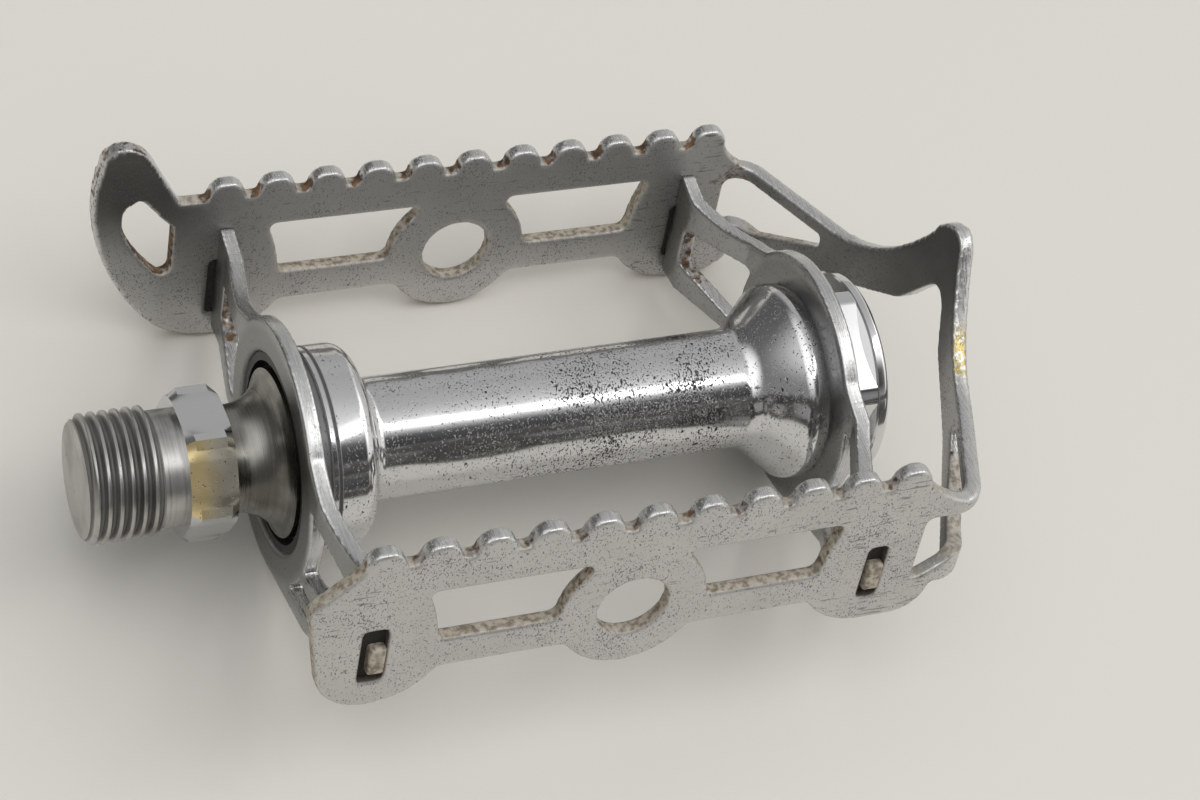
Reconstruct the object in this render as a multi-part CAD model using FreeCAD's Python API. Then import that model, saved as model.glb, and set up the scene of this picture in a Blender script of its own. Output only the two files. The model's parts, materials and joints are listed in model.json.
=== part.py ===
"""Quill pedal: a folded, toothed steel cage on a chromed barrel that turns on a threaded spindle.

The spindle lies along X, with the crank at -X. The origin is on the spindle axis, at the face
of the hexagon collar that bears on the crank. +Z is up. The pedal lies as it rests on a table,
on the rings of its cross plates and the lobes of its far cage plate. Sizes are millimetres.
"""
import FreeCAD
import Part

import math
import os

# Spindle, from the crank outwards
THREAD_R = 7.14
THREAD_LEN = 10.6
COLLAR_FLATS = 15.0
COLLAR_LEN = 5.2
NECK_R = 6.0
NECK_LEN = 1.2
FLARE_LEN = 4.6
LIP_R = 9.4
LIP_T = 1.3
SHAFT_R = 4.6
TAIL_R = 3.97
TIP_CHAMFER = 0.8
COLLAR_CHAMFER = 0.9
COLLAR_TURN = -15.0

# Bearings
BALL_D = 3.175
BALL_PITCH_R = 6.4
BALL_GAP = 0.12
CUP_WALL = 0.9
CUP_LIP = 0.3
CUP_FRONT = 0.2
CUP_RELIEF = 0.1
CONE_R = 6.6
CONE_WALL = 0.45
CONE_RIM = 0.9
CONE_STEP_R = 7.0
CONE_NOSE = 1.3
OUTER_BALL_INSET = 1.0
SEAL_T = 1.0
WASHER_R = 6.3
WASHER_T = 0.9
NUT_FLATS = 11.5
NUT_LEN = 2.8
TAIL_OUT = 0.3

# Barrel
TUBE_R = 6.9
TUBE_WALL = 1.1
FLANGE_R = 11.25
FLANGE_WALL = 1.5
FLANGE_ROUND = 0.7
MOUTH_R = 10.2
GROOVE_DEPTH = 0.4
GROOVE_LEN = 1.5
GROOVE_GAP = 0.3
BELL_R = 11.4
BELL_LEN = 8.3
BELL_RIM = 2.8
BELL_CROWN = 0.35
BELL_BEND_R = 3.0
SPIGOT_R = 9.9
SPIGOT_OUT = 2.0

# Dust cap
CAP_R = 12.0
CAP_FLATS = 21.6
CAP_HEX_LEN = 3.7
CAP_TURN = 30.0
CAP_TAIL_GAP = 0.5
CAP_DOME = 0.9
CAP_END_T = 1.2
CAP_CAVITY_R = 8.7
CAP_EDGE = 0.6
CAP_GAP = 0.3

# Cage sheet and its plan
SHEET = 1.9
CAGE_HALF = 29.5
SLOT_X = 13.4
SLOT_SPAN = 57.5
NEAR_CORNER_OUT = 10.8
FAR_CORNER_OUT = 8.3
HORN_OUT = 20.8
NEAR_BOW = 0.8
NEAR_BOW_R = 40.0
CORNER_BEND_R = 3.0
HORN_BEND_R = 9.0
EAR_BEND_X = 7.2
EAR_BEND_R = 4.0
EAR_ANGLE = 17.0

# Cage plate seen from the side, heights from the spindle axis
TOOTH_TOP = 14.25
TOOTH_ROOT = 12.05
TOOTH_PITCH = 5.97
TOOTH_WIDTH = 4.3
TOOTH_ROUND = 1.9
TOOTH_START = -0.2
TOOTH_OVERHANG = 2.6
BAR_TOP = 7.6
SILL = 0.25
BAR_BOTTOM = -3.95
BOSS_R = 8.2
BOSS_Z = 0.05
BOSS_FILLET = 1.6
EYE_R = 4.07
EYE_Z = 0.3
EYE_LAND_R = 8.5
WINDOW_EDGE = 6.8
WINDOW_LEAN = 1.9
WINDOW_BOW = 0.6
WINDOW_ROUND = 0.8
SHOULDER_Z = 8.05
SHOULDER_R = 1.4
SLOPE_SAG = 0.6
NEAR_EDGE_TOP = 7.8
NEAR_EDGE_LOW = 6.3
NEAR_EDGE_Z = -2.6
RISE_OUT = 7.9
SLOT_TOP = 3.05
SLOT_BOTTOM = -4.6

# Cage ear and its hole, measured outwards from the ear's bend
EAR_FOOT = 1.6
EAR_OUT = 7.8
EAR_TIP = 19.6
EAR_TIP_R = 2.9
EAR_LEAN = 0.6
EAR_SIDE_Z = 9.45
EAR_HEEL = 4.4
EAR_HEEL_Z = -1.35
EAR_ROOT = 0.7
EAR_ROOT_Z = -5.75
EAR_HOLE_IN = 0.9
EAR_HOLE_OUT = 4.5
EAR_HOLE_OUT_Z = 10.4
EAR_HOLE_TOP = 12.5
EAR_HOLE_PEAK = 2.7
EAR_HOLE_SIDE = 8.7
EAR_HOLE_LOW = 1.8
EAR_HOLE_WAIST = 3.5
EAR_HOLE_WAIST_Z = 5.6
EAR_HOLE_R = 1.2

# Outer end of the cage: two struts round a window on each side, and the horn
STRUT_TOP = 8.25
STRUT_H = 1.9
LOW_STRUT_Z = -4.15
LOW_STRUT_H = 3.6
END_SPLIT = 26.5
END_WINDOW_Y = 16.6
END_WINDOW_POINT = 1.5
CORNER_WINDOW_X = 5.2
CORNER_WINDOW_Z = -3.55
HORN_FOOT_Y = 16.0
HORN_FLANK_Y = 8.6
HORN_FLANK_Z = 10.95
HORN_WAIST_Y = 4.9
HORN_WAIST_Z = 14.95
HORN_HALF = 3.0
HORN_TIP = 20.45
HORN_ROUND = 2.6
WEB_Y = 5.8
WEB_Z = 5.55
ARCH_Y = 2.6
ARCH_Z = 9.15
ARCH_TOP = 11.65

# Cross plates
RING_R = 15.0
ARM_TOP = 6.8
ARM_END_TOP = 8.2
ARM_LOW = -6.5
STAY_END = -9.0
STAY_W = 2.3
ARM_SOLID = 3.6
ARM_WINDOW_TOP = 2.4
ARM_WINDOW_LOW = -2.6
ARM_WINDOW_IN = 12.0
ARM_WINDOW_FLARE = 2.6
RING_CROWN = 50.0
RING_FLAT = 0.6
RING_BAND_R = 14.6
TENON_TOP = 0.4
TENON_LOW = -3.55
TENON_LEN = 1.4
INNER_DISH = -1.6
OUTER_DISH = 3.6

# Clearances
FIT = 0.02
PLAY = 0.03
SLOT_CLEAR = 0.2
INNER_SLOT_SPARE = 0.5
SEAL_CLEAR = 0.3
SEAL_GAP = 0.7
MOUTH_INSET = 0.35
CONE_GAP = 1.2
REACH = 12.0

V = FreeCAD.Vector
ORIGIN = V(0, 0, 0)
X_AXIS = V(1, 0, 0)
Y_AXIS = V(0, 1, 0)

# Share of a radius that the middle of a quarter round leaves off each side
BITE_45 = 1 - math.sqrt(0.5)

# Places along the spindle
FLARE_X = COLLAR_LEN + NECK_LEN
LIP_X = FLARE_X + FLARE_LEN
LIP_BACK = LIP_X + LIP_T
SEAL_BACK = LIP_BACK + SEAL_GAP + SEAL_T
BALL_R = BALL_D / 2
BITE = BALL_R * math.sqrt(0.5)
INNER_BALL_X = SEAL_BACK + CONE_GAP + BALL_R
INNER_RING_X = SLOT_X + INNER_DISH
OUTER_RING_X = SLOT_X + SLOT_SPAN + OUTER_DISH
SHOULDER_X = OUTER_RING_X - SHEET / 2
RING_BACK_X = OUTER_RING_X + SHEET / 2
OUTER_BALL_X = SHOULDER_X - OUTER_BALL_INSET
CUP_R = BALL_PITCH_R + BALL_R + CUP_WALL
CUP_BACK = BALL_R + CUP_LIP
CUP_MOUTH = BALL_R + CUP_FRONT
FLANGE_X = INNER_BALL_X + CUP_BACK + FLANGE_WALL
CONE_BORE = TAIL_R + FIT
CONE_BACK = OUTER_BALL_X + BITE + CONE_R - (BALL_PITCH_R - BITE) + CONE_RIM
NUT_X = CONE_BACK + WASHER_T
TAIL_X = NUT_X + NUT_LEN + TAIL_OUT
CAP_HEX_X = RING_BACK_X + CAP_HEX_LEN

# The table touches both rings and the lobes of the far plate
LOBE_Z = BOSS_Z - BOSS_R
LOBE_Y = CAGE_HALF + SHEET / 2
REST_TILT = math.asin(RING_R / math.hypot(LOBE_Y, LOBE_Z)) - math.atan2(-LOBE_Z, LOBE_Y)

EYE_X = SLOT_X + SLOT_SPAN / 2
OUTER_SLOT_X = SLOT_X + SLOT_SPAN
NEAR_CORNER_X = OUTER_SLOT_X + NEAR_CORNER_OUT
FAR_CORNER_X = OUTER_SLOT_X + FAR_CORNER_OUT
HORN_X = OUTER_SLOT_X + HORN_OUT
PLATE_Y = CAGE_HALF - SHEET / 2
BALL_COUNT = int(math.pi / math.asin((BALL_D + BALL_GAP) / (2 * BALL_PITCH_R)))
TOOTH_COUNT = 1 + int((SLOT_SPAN + TOOTH_OVERHANG) / TOOTH_PITCH)


def side(x, z):
    """Point of an outline seen from the side."""
    return V(x, 0, z)


def front(y, z):
    """Point of an outline seen along the spindle."""
    return V(0, y, z)


def plan(x, y):
    """Point of an outline seen from above."""
    return V(x, y, 0)


class Outline:
    """A closed outline of lines, arcs and curves in one plane."""

    def __init__(self, place, start):
        self.place = place
        self.first = start
        self.last = start
        self.edges = []

    def line(self, *points):
        """Straight runs through the points."""
        for point in points:
            if math.dist(self.last, point) > 1e-6:
                self.edges.append(Part.makeLine(self.place(*self.last), self.place(*point)))
            self.last = point
        return self

    def arc(self, middle, end):
        """A circular arc through the middle point."""
        ends = [self.place(*self.last), self.place(*middle), self.place(*end)]
        self.edges.append(Part.Arc(*ends).toShape())
        self.last = end
        return self

    def curve(self, *points):
        """A smooth curve through the points."""
        spline = Part.BSplineCurve()
        spline.interpolate([self.place(*self.last)] + [self.place(*p) for p in points])
        self.edges.append(spline.toShape())
        self.last = points[-1]
        return self

    def face(self):
        """The closed outline as a face."""
        if math.dist(self.first, self.last) > 1e-6:
            self.line(self.first)
        return Part.Face(Part.Wire(self.edges))


def turned(outline):
    """Solid of revolution about the spindle axis, from an outline of x and radius."""
    return outline.face().revolve(ORIGIN, X_AXIS, 360)


def rod(x0, x1, radius):
    """Plain cylinder on the spindle axis."""
    return Part.makeCylinder(radius, x1 - x0, V(x0, 0, 0), X_AXIS)


def hexagon(x0, x1, flats, turn=0.0):
    """Hexagon bar on the spindle axis, turned in degrees from the place with a flat on top."""
    corner = flats / math.sqrt(3)
    angles = [math.radians(60 * i + turn) for i in range(6)]
    points = [V(x0, corner * math.cos(a), corner * math.sin(a)) for a in angles]
    return Part.Face(Part.makePolygon(points + points[:1])).extrude(V(x1 - x0, 0, 0))


def chamfered_rod(x0, x1, radius, chamfer):
    """Cylinder with both end edges chamfered."""
    outline = Outline(side, (x0, 0))
    outline.line((x0, radius - chamfer), (x0 + chamfer, radius), (x1 - chamfer, radius))
    outline.line((x1, radius - chamfer), (x1, 0))
    return turned(outline)


def box_between(x0, x1, y0, y1, z0, z1):
    """Box from its limits."""
    return Part.makeBox(x1 - x0, y1 - y0, z1 - z0, V(x0, y0, z0))


def spindle():
    """Spindle with crank thread, collar, flared lip, inner cone and shaft, as one forging."""
    cone_foot = INNER_BALL_X - BITE + (BALL_PITCH_R - BITE) - PLAY * math.sqrt(2)
    flare_r = (FLARE_LEN ** 2 + (LIP_R - NECK_R) ** 2) / (2 * (LIP_R - NECK_R))
    half_turn = math.asin(FLARE_LEN / flare_r) / 2
    flare_mid = (FLARE_X + flare_r * math.sin(half_turn), NECK_R + flare_r * (1 - math.cos(half_turn)))
    body = Outline(side, (-THREAD_LEN, 0))
    body.line((-THREAD_LEN, THREAD_R - TIP_CHAMFER), (TIP_CHAMFER - THREAD_LEN, THREAD_R))
    body.line((0, THREAD_R), (0, NECK_R), (FLARE_X, NECK_R))
    body.arc(flare_mid, (LIP_X, LIP_R))
    body.line((LIP_BACK, LIP_R), (LIP_BACK, CONE_STEP_R), (cone_foot - CONE_STEP_R, CONE_STEP_R))
    body.line((cone_foot - SHAFT_R, SHAFT_R), (OUTER_BALL_X - CUP_BACK, SHAFT_R))
    body.line((OUTER_BALL_X - CUP_BACK, TAIL_R), (TAIL_X - TIP_CHAMFER, TAIL_R))
    body.line((TAIL_X, TAIL_R - TIP_CHAMFER), (TAIL_X, 0))
    rounding = chamfered_rod(0, COLLAR_LEN, COLLAR_FLATS / math.sqrt(3), COLLAR_CHAMFER)
    collar = hexagon(0, COLLAR_LEN, COLLAR_FLATS, COLLAR_TURN).common(rounding)
    return turned(body).fuse(collar).removeSplitter()


def cup(ball_x, way):
    """Pressed bearing cup whose seat narrows along way, +1 outboard or -1 towards the crank."""
    seat = BALL_PITCH_R + BITE + BITE + PLAY * math.sqrt(2)
    wide = CUP_R - CUP_WALL + CUP_RELIEF
    ring = Outline(side, (ball_x - way * CUP_MOUTH, wide))
    ring.line((ball_x + way * (seat - wide), wide), (ball_x + way * CUP_BACK, seat - CUP_BACK))
    ring.line((ball_x + way * CUP_BACK, CUP_R - FIT), (ball_x - way * CUP_MOUTH, CUP_R - FIT))
    return turned(ring)


def balls(ball_x):
    """Ring of separate bearing balls."""
    ring = []
    for i in range(BALL_COUNT):
        angle = 2 * math.pi * i / BALL_COUNT
        centre = V(ball_x, BALL_PITCH_R * math.cos(angle), BALL_PITCH_R * math.sin(angle))
        ring.append(Part.makeSphere(BALL_R, centre))
    return ring


def outer_cone():
    """Adjusting cone on the tail of the spindle."""
    foot = BALL_PITCH_R - BITE - (OUTER_BALL_X + BITE) - PLAY * math.sqrt(2)
    small_r = CONE_BORE + CONE_WALL
    start = OUTER_BALL_X - CONE_NOSE
    ring = Outline(side, (start, CONE_BORE))
    ring.line((start, small_r), (small_r - foot, small_r), (CONE_R - foot, CONE_R))
    ring.line((CONE_BACK, CONE_R), (CONE_BACK, CONE_BORE))
    return turned(ring)


def lock_washer():
    """Washer between the cone and the lock nut."""
    return rod(CONE_BACK, NUT_X, WASHER_R).cut(rod(CONE_BACK, NUT_X, CONE_BORE))


def lock_nut():
    """Hexagon nut that locks the cone."""
    corner = NUT_FLATS / math.sqrt(3)
    end = NUT_X + NUT_LEN
    rounding = chamfered_rod(NUT_X, end, corner, corner - NUT_FLATS / 2)
    nut = hexagon(NUT_X, end, NUT_FLATS).common(rounding)
    return nut.cut(rod(NUT_X, end, CONE_BORE))


def dust_seal():
    """Ring that closes the barrel's mouth behind the lip."""
    start = SEAL_BACK - SEAL_T
    return rod(start, SEAL_BACK, MOUTH_R - FIT).cut(rod(start, SEAL_BACK, CONE_STEP_R + SEAL_CLEAR))


def barrel():
    """Turned barrel: flange and mouth at the crank end, tube, and bell with a spigot outboard."""
    start = INNER_RING_X - SHEET / 2 + MOUTH_INSET
    groove = INNER_RING_X + SHEET / 2 + GROOVE_GAP
    bore = TUBE_R - TUBE_WALL
    step = FLANGE_ROUND
    bell_x = SHOULDER_X - BELL_LEN
    rim_x = SHOULDER_X - BELL_RIM
    rim_r = BELL_R - BELL_CROWN
    bend_r = TUBE_R + BELL_BEND_R
    run = (rim_x - bell_x, rim_r - bend_r)
    turn = math.atan2(run[1], run[0]) - math.acos(BELL_BEND_R / math.hypot(*run))
    bend = [(bell_x + BELL_BEND_R * math.cos(a), bend_r + BELL_BEND_R * math.sin(a))
            for a in ((turn - math.pi / 2) / 2, turn)]
    body = Outline(side, (start, MOUTH_R))
    body.line((start, FLANGE_R), (groove, FLANGE_R), (groove, FLANGE_R - GROOVE_DEPTH))
    body.line((groove + GROOVE_LEN, FLANGE_R - GROOVE_DEPTH), (groove + GROOVE_LEN, FLANGE_R))
    body.line((FLANGE_X - step, FLANGE_R))
    body.arc((FLANGE_X - step * BITE_45, FLANGE_R - step * BITE_45), (FLANGE_X, FLANGE_R - step))
    body.line((FLANGE_X, TUBE_R + step))
    body.arc((FLANGE_X + step * BITE_45, TUBE_R + step * BITE_45), (FLANGE_X + step, TUBE_R))
    body.line((bell_x, TUBE_R))
    body.arc(bend[0], bend[1])
    body.line((rim_x, rim_r))
    body.arc((rim_x + BELL_RIM / 2, BELL_R), (SHOULDER_X, rim_r))
    body.line((SHOULDER_X, SPIGOT_R), (RING_BACK_X + SPIGOT_OUT, SPIGOT_R))
    body.line((RING_BACK_X + SPIGOT_OUT, CUP_R), (OUTER_BALL_X - CUP_BACK, CUP_R))
    body.line((OUTER_BALL_X - CUP_BACK, bore), (INNER_BALL_X + CUP_BACK, bore))
    body.line((INNER_BALL_X + CUP_BACK, CUP_R), (SEAL_BACK, CUP_R), (SEAL_BACK, MOUTH_R))
    return turned(body)


def dust_cap():
    """Screwed cap with hexagon flats, a round rim and a closed, slightly domed end."""
    cavity_end = TAIL_X + CAP_TAIL_GAP
    top = cavity_end + CAP_END_T
    rim_end = top - CAP_DOME
    thread_r = SPIGOT_R + FIT
    thread_end = RING_BACK_X + SPIGOT_OUT + CAP_GAP
    edge_r = CAP_R - CAP_EDGE
    dome_r = (edge_r ** 2 + CAP_DOME ** 2) / (2 * CAP_DOME)
    half_turn = math.asin(edge_r / dome_r) / 2
    cup_shape = Outline(side, (RING_BACK_X, thread_r))
    cup_shape.line((RING_BACK_X, CAP_R), (rim_end - CAP_EDGE, CAP_R))
    cup_shape.arc((rim_end - CAP_EDGE * BITE_45, CAP_R - CAP_EDGE * BITE_45), (rim_end, edge_r))
    cup_shape.arc((top - dome_r * (1 - math.cos(half_turn)), dome_r * math.sin(half_turn)), (top, 0))
    cup_shape.line((cavity_end, 0), (cavity_end, CAP_CAVITY_R))
    cup_shape.line((thread_end, CAP_CAVITY_R), (thread_end, thread_r))
    bar = hexagon(RING_BACK_X, CAP_HEX_X, CAP_FLATS, CAP_TURN)
    return turned(cup_shape).cut(rod(RING_BACK_X, CAP_HEX_X, 2 * CAP_R).cut(bar))


def strip_run(corners, radii, offset):
    """One side of a bent strip in plan: a list of ("line", point) and ("arc", middle, point)."""
    steps = []
    ways = []
    for a, b in zip(corners, corners[1:]):
        ways.append(((b[0] - a[0]) / math.dist(a, b), (b[1] - a[1]) / math.dist(a, b)))
    steps.append((corners[0][0] - ways[0][1] * offset, corners[0][1] + ways[0][0] * offset))
    for corner, radius, way, after in zip(corners[1:], radii, ways, ways[1:]):
        turn = math.atan2(way[0] * after[1] - way[1] * after[0], way[0] * after[0] + way[1] * after[1])
        reach = radius * math.tan(abs(turn) / 2)
        hand = math.copysign(1, turn)
        begin = (corner[0] - way[0] * reach, corner[1] - way[1] * reach)
        centre = (begin[0] - way[1] * radius * hand, begin[1] + way[0] * radius * hand)
        arc_r = radius - offset * hand
        span = math.dist(corner, centre)
        middle = [centre[k] + (corner[k] - centre[k]) / span * arc_r for k in (0, 1)]
        first = (begin[0] - way[1] * offset, begin[1] + way[0] * offset)
        finish = (corner[0] + after[0] * reach, corner[1] + after[1] * reach)
        last = (finish[0] - after[1] * offset, finish[1] + after[0] * offset)
        steps += [first, (tuple(middle), last)]
    end_way = ways[-1]
    steps.append((corners[-1][0] - end_way[1] * offset, corners[-1][1] + end_way[0] * offset))
    return steps


def bent_wall(corners, radii, low, high):
    """Upright wall of sheet thickness along a bent plan line."""
    outer = strip_run(corners, radii, -SHEET / 2)
    inner = strip_run(corners[::-1], radii[::-1], -SHEET / 2)
    outline = Outline(plan, outer[0])
    for step in outer[1:] + inner:
        if isinstance(step[0], tuple):
            outline.arc(*step)
        else:
            outline.line(step)
    wall = outline.face().extrude(V(0, 0, high - low))
    wall.translate(V(0, 0, low))
    return wall


def lobe_half(x, way):
    """Half of a lobe and its fillet to the bar, as two arcs from the lowest point outwards."""
    fillet_z = BAR_BOTTOM - BOSS_FILLET
    off = math.sqrt((BOSS_R + BOSS_FILLET) ** 2 - (BOSS_Z - fillet_z) ** 2)
    lean = math.atan2(off, BOSS_Z - fillet_z)
    half = (x + way * BOSS_R * math.sin(lean / 2), BOSS_Z - BOSS_R * math.cos(lean / 2))
    meet = (x + way * BOSS_R * math.sin(lean), BOSS_Z - BOSS_R * math.cos(lean))
    bend = (x + way * (off - BOSS_FILLET * math.sin(lean / 2)), fillet_z + BOSS_FILLET * math.cos(lean / 2))
    return half, meet, bend, (x + way * off, BAR_BOTTOM)


def lobe_in(outline, x):
    """Draw the bar up to a lobe and down to the lobe's lowest point, towards +X."""
    half, meet, bend, foot = lobe_half(x, -1)
    outline.line(foot).arc(bend, meet).arc(half, (x, LOBE_Z))


def lobe_out(outline, x):
    """Draw from a lobe's lowest point back up to the bar, towards +X."""
    half, meet, bend, foot = lobe_half(x, 1)
    outline.arc(half, meet).arc(bend, foot)


def add_tooth(outline, x):
    """One round-shouldered tooth, drawn towards -X."""
    half = TOOTH_WIDTH / 2
    bite = TOOTH_ROUND * BITE_45
    outline.line((x + half, TOOTH_ROOT), (x + half, TOOTH_TOP - TOOTH_ROUND))
    outline.arc((x + half - bite, TOOTH_TOP - bite), (x + half - TOOTH_ROUND, TOOTH_TOP))
    outline.line((x - half + TOOTH_ROUND, TOOTH_TOP))
    outline.arc((x - half + bite, TOOTH_TOP - bite), (x - half, TOOTH_TOP - TOOTH_ROUND))
    outline.line((x - half, TOOTH_ROOT))


def plate_outline(corner_x):
    """Lower edge, outer end and toothed top of both cage plates, from the inner boss's lowest point."""
    outline = Outline(side, (SLOT_X, LOBE_Z))
    lobe_out(outline, SLOT_X)
    lobe_in(outline, EYE_X)
    lobe_out(outline, EYE_X)
    lobe_in(outline, OUTER_SLOT_X)
    rise = LOW_STRUT_Z - LOBE_Z
    rise_x = OUTER_SLOT_X + RISE_OUT
    outline.line((rise_x - rise, LOBE_Z))
    outline.arc((rise_x - rise * BITE_45, LOW_STRUT_Z - rise * (1 - BITE_45)), (rise_x, LOW_STRUT_Z))
    outline.line((corner_x + REACH, LOW_STRUT_Z), (corner_x + REACH, STRUT_TOP))
    slope_foot = corner_x - SHEET / 2
    slope_top = SLOT_X + TOOTH_START + TOOTH_PITCH * (TOOTH_COUNT - 1) + TOOTH_WIDTH / 2
    outline.line((slope_foot, STRUT_TOP))
    sag = ((slope_foot + slope_top) / 2, (STRUT_TOP + TOOTH_ROOT) / 2 - SLOPE_SAG)
    outline.arc(sag, (slope_top, TOOTH_ROOT))
    for i in reversed(range(TOOTH_COUNT)):
        add_tooth(outline, SLOT_X + TOOTH_START + TOOTH_PITCH * i)
    return outline


def near_plate():
    """Side outline of the near plate, which ends in a plain boss at the crank side."""
    outline = plate_outline(NEAR_CORNER_X)
    left = SLOT_X - NEAR_EDGE_TOP
    low = SLOT_X - NEAR_EDGE_LOW
    bite = SHOULDER_R * BITE_45
    outline.line((left + SHOULDER_R, SHOULDER_Z + bite))
    outline.arc((left + bite, SHOULDER_Z - bite), (left, SHOULDER_Z - SHOULDER_R))
    outline.line((low, NEAR_EDGE_Z))
    turn = math.sqrt(0.5)
    below = (SLOT_X - NEAR_EDGE_LOW * turn, NEAR_EDGE_Z + (LOBE_Z - NEAR_EDGE_Z) * turn)
    outline.arc(below, (SLOT_X, LOBE_Z))
    return outline.face()


def far_plate():
    """Side outline of the far plate, which runs on into the upturned ear at the crank side."""
    outline = plate_outline(FAR_CORNER_X)
    bend = SLOT_X - EAR_BEND_X
    tip = (bend - EAR_OUT + EAR_LEAN + EAR_TIP_R, EAR_TIP - EAR_TIP_R)
    foot = (bend + EAR_FOOT, TOOTH_ROOT)
    touch = math.atan2(foot[1] - tip[1], foot[0] - tip[0]) + math.acos(EAR_TIP_R / math.dist(tip, foot))
    rim = [(tip[0] + EAR_TIP_R * math.cos(a), tip[1] + EAR_TIP_R * math.sin(a))
           for a in (touch, (touch + math.pi) / 2, math.pi)]
    outline.line(foot, rim[0])
    outline.arc(rim[1], rim[2])
    heel = [(bend - EAR_OUT, EAR_SIDE_Z), (bend - EAR_HEEL, EAR_HEEL_Z), (bend - EAR_ROOT, EAR_ROOT_Z)]
    outline.curve(*heel, (SLOT_X, LOBE_Z))
    return outline.face()


def plate_cuts():
    """Holes of both cage plates, long enough to pass through either plate."""
    tools = [Part.makeCylinder(EYE_R, 4 * CAGE_HALF, V(EYE_X, -2 * CAGE_HALF, EYE_Z), Y_AXIS)]
    land_low = math.sqrt(EYE_LAND_R ** 2 - (SILL - BOSS_Z) ** 2)
    land_top = math.sqrt(EYE_LAND_R ** 2 - (BAR_TOP - BOSS_Z) ** 2)
    land_z = (SILL + BAR_TOP) / 2
    land_mid = math.sqrt(EYE_LAND_R ** 2 - (land_z - BOSS_Z) ** 2)
    for slot_x, way, spare in ((SLOT_X, 1, INNER_SLOT_SPARE), (OUTER_SLOT_X, -1, 0.0)):
        window = Outline(side, (slot_x + way * WINDOW_EDGE, SILL))
        window.line((EYE_X - way * land_low, SILL))
        window.arc((EYE_X - way * land_mid, land_z), (EYE_X - way * land_top, BAR_TOP))
        window.line((slot_x + way * (WINDOW_EDGE - WINDOW_LEAN), BAR_TOP))
        window.arc((slot_x + way * (WINDOW_EDGE - WINDOW_BOW), land_z), window.first)
        prism = window.face().extrude(V(0, 4 * CAGE_HALF, 0))
        prism.translate(V(0, -2 * CAGE_HALF, 0))
        corners = [e for e in prism.Edges if e.Length > 3 * CAGE_HALF]
        tools.append(prism.makeFillet(WINDOW_ROUND, corners))
        half = SHEET / 2 + SLOT_CLEAR
        across = (-2 * CAGE_HALF, 2 * CAGE_HALF)
        tools.append(box_between(slot_x - half - spare, slot_x + half, *across, SLOT_BOTTOM, SLOT_TOP))
    return tools


def corner_window(corner_x):
    """Part of an end window that lies in its cage plate."""
    left = OUTER_SLOT_X + CORNER_WINDOW_X
    top = STRUT_TOP - STRUT_H
    sill = LOW_STRUT_Z + LOW_STRUT_H
    end = corner_x + 2 * REACH
    window = Outline(side, (left, CORNER_WINDOW_Z))
    window.line((corner_x - SHEET / 2, sill), (end, sill), (end, top), (left, top))
    prism = window.face().extrude(V(0, 4 * CAGE_HALF, 0))
    prism.translate(V(0, -2 * CAGE_HALF, 0))
    rounded = [e for e in prism.Edges if e.Length > 3 * CAGE_HALF and e.Vertexes[0].X < left + FIT]
    return prism.makeFillet(WINDOW_ROUND, rounded)


def ear_hole():
    """Drop-shaped hole through the ear, across its bend."""
    bend = SLOT_X - EAR_BEND_X
    inner = bend + EAR_HOLE_IN
    outer = bend - EAR_HOLE_OUT
    low = EAR_HOLE_LOW + EAR_HOLE_R
    hole = Outline(side, (inner, low))
    hole.line((inner, EAR_HOLE_SIDE), (bend - EAR_HOLE_PEAK, EAR_HOLE_TOP))
    waist = (bend - EAR_HOLE_WAIST, EAR_HOLE_WAIST_Z)
    hole.curve((outer, EAR_HOLE_OUT_Z), waist, (inner - EAR_HOLE_R, EAR_HOLE_LOW))
    hole.arc((inner - EAR_HOLE_R * BITE_45, low - EAR_HOLE_R * (1 - BITE_45)), (inner, low))
    return hole.face().extrude(V(0, 2 * CAGE_HALF, 0))


def lengthwise(outline, start, length):
    """Prism along the spindle from an outline seen along it."""
    prism = outline.face().extrude(V(length, 0, 0))
    prism.translate(V(start, 0, 0))
    return prism


def end_outline():
    """Outer end of the cage seen along the spindle: two struts that meet under a horn."""
    flank = [(HORN_FLANK_Y, HORN_FLANK_Z), (HORN_WAIST_Y, HORN_WAIST_Z), (HORN_HALF, HORN_TIP - HORN_ROUND)]
    foot = (HORN_FOOT_Y, STRUT_TOP)
    outline = Outline(front, (-END_SPLIT, STRUT_TOP))
    outline.line((-HORN_FOOT_Y, STRUT_TOP))
    outline.curve(*[(-y, z) for y, z in flank])
    outline.arc((0, HORN_TIP), flank[-1])
    outline.curve(*flank[-2::-1], foot)
    outline.line((END_SPLIT, STRUT_TOP), (END_SPLIT, LOW_STRUT_Z), (WEB_Y, WEB_Z))
    outline.curve((ARCH_Y, ARCH_Z), (0, ARCH_TOP), (-ARCH_Y, ARCH_Z), (-WEB_Y, WEB_Z))
    outline.line((-END_SPLIT, LOW_STRUT_Z))
    return outline


def end_windows():
    """The two end windows, seen along the spindle."""
    top = STRUT_TOP - STRUT_H
    sill = LOW_STRUT_Z + LOW_STRUT_H
    tools = []
    for way in (1, -1):
        window = Outline(front, (way * END_SPLIT, sill))
        window.line((way * END_WINDOW_Y, top - END_WINDOW_POINT), (way * END_WINDOW_Y, top))
        window.line((way * END_SPLIT, top))
        tools.append(lengthwise(window, OUTER_SLOT_X, HORN_OUT + REACH))
    return tools


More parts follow.
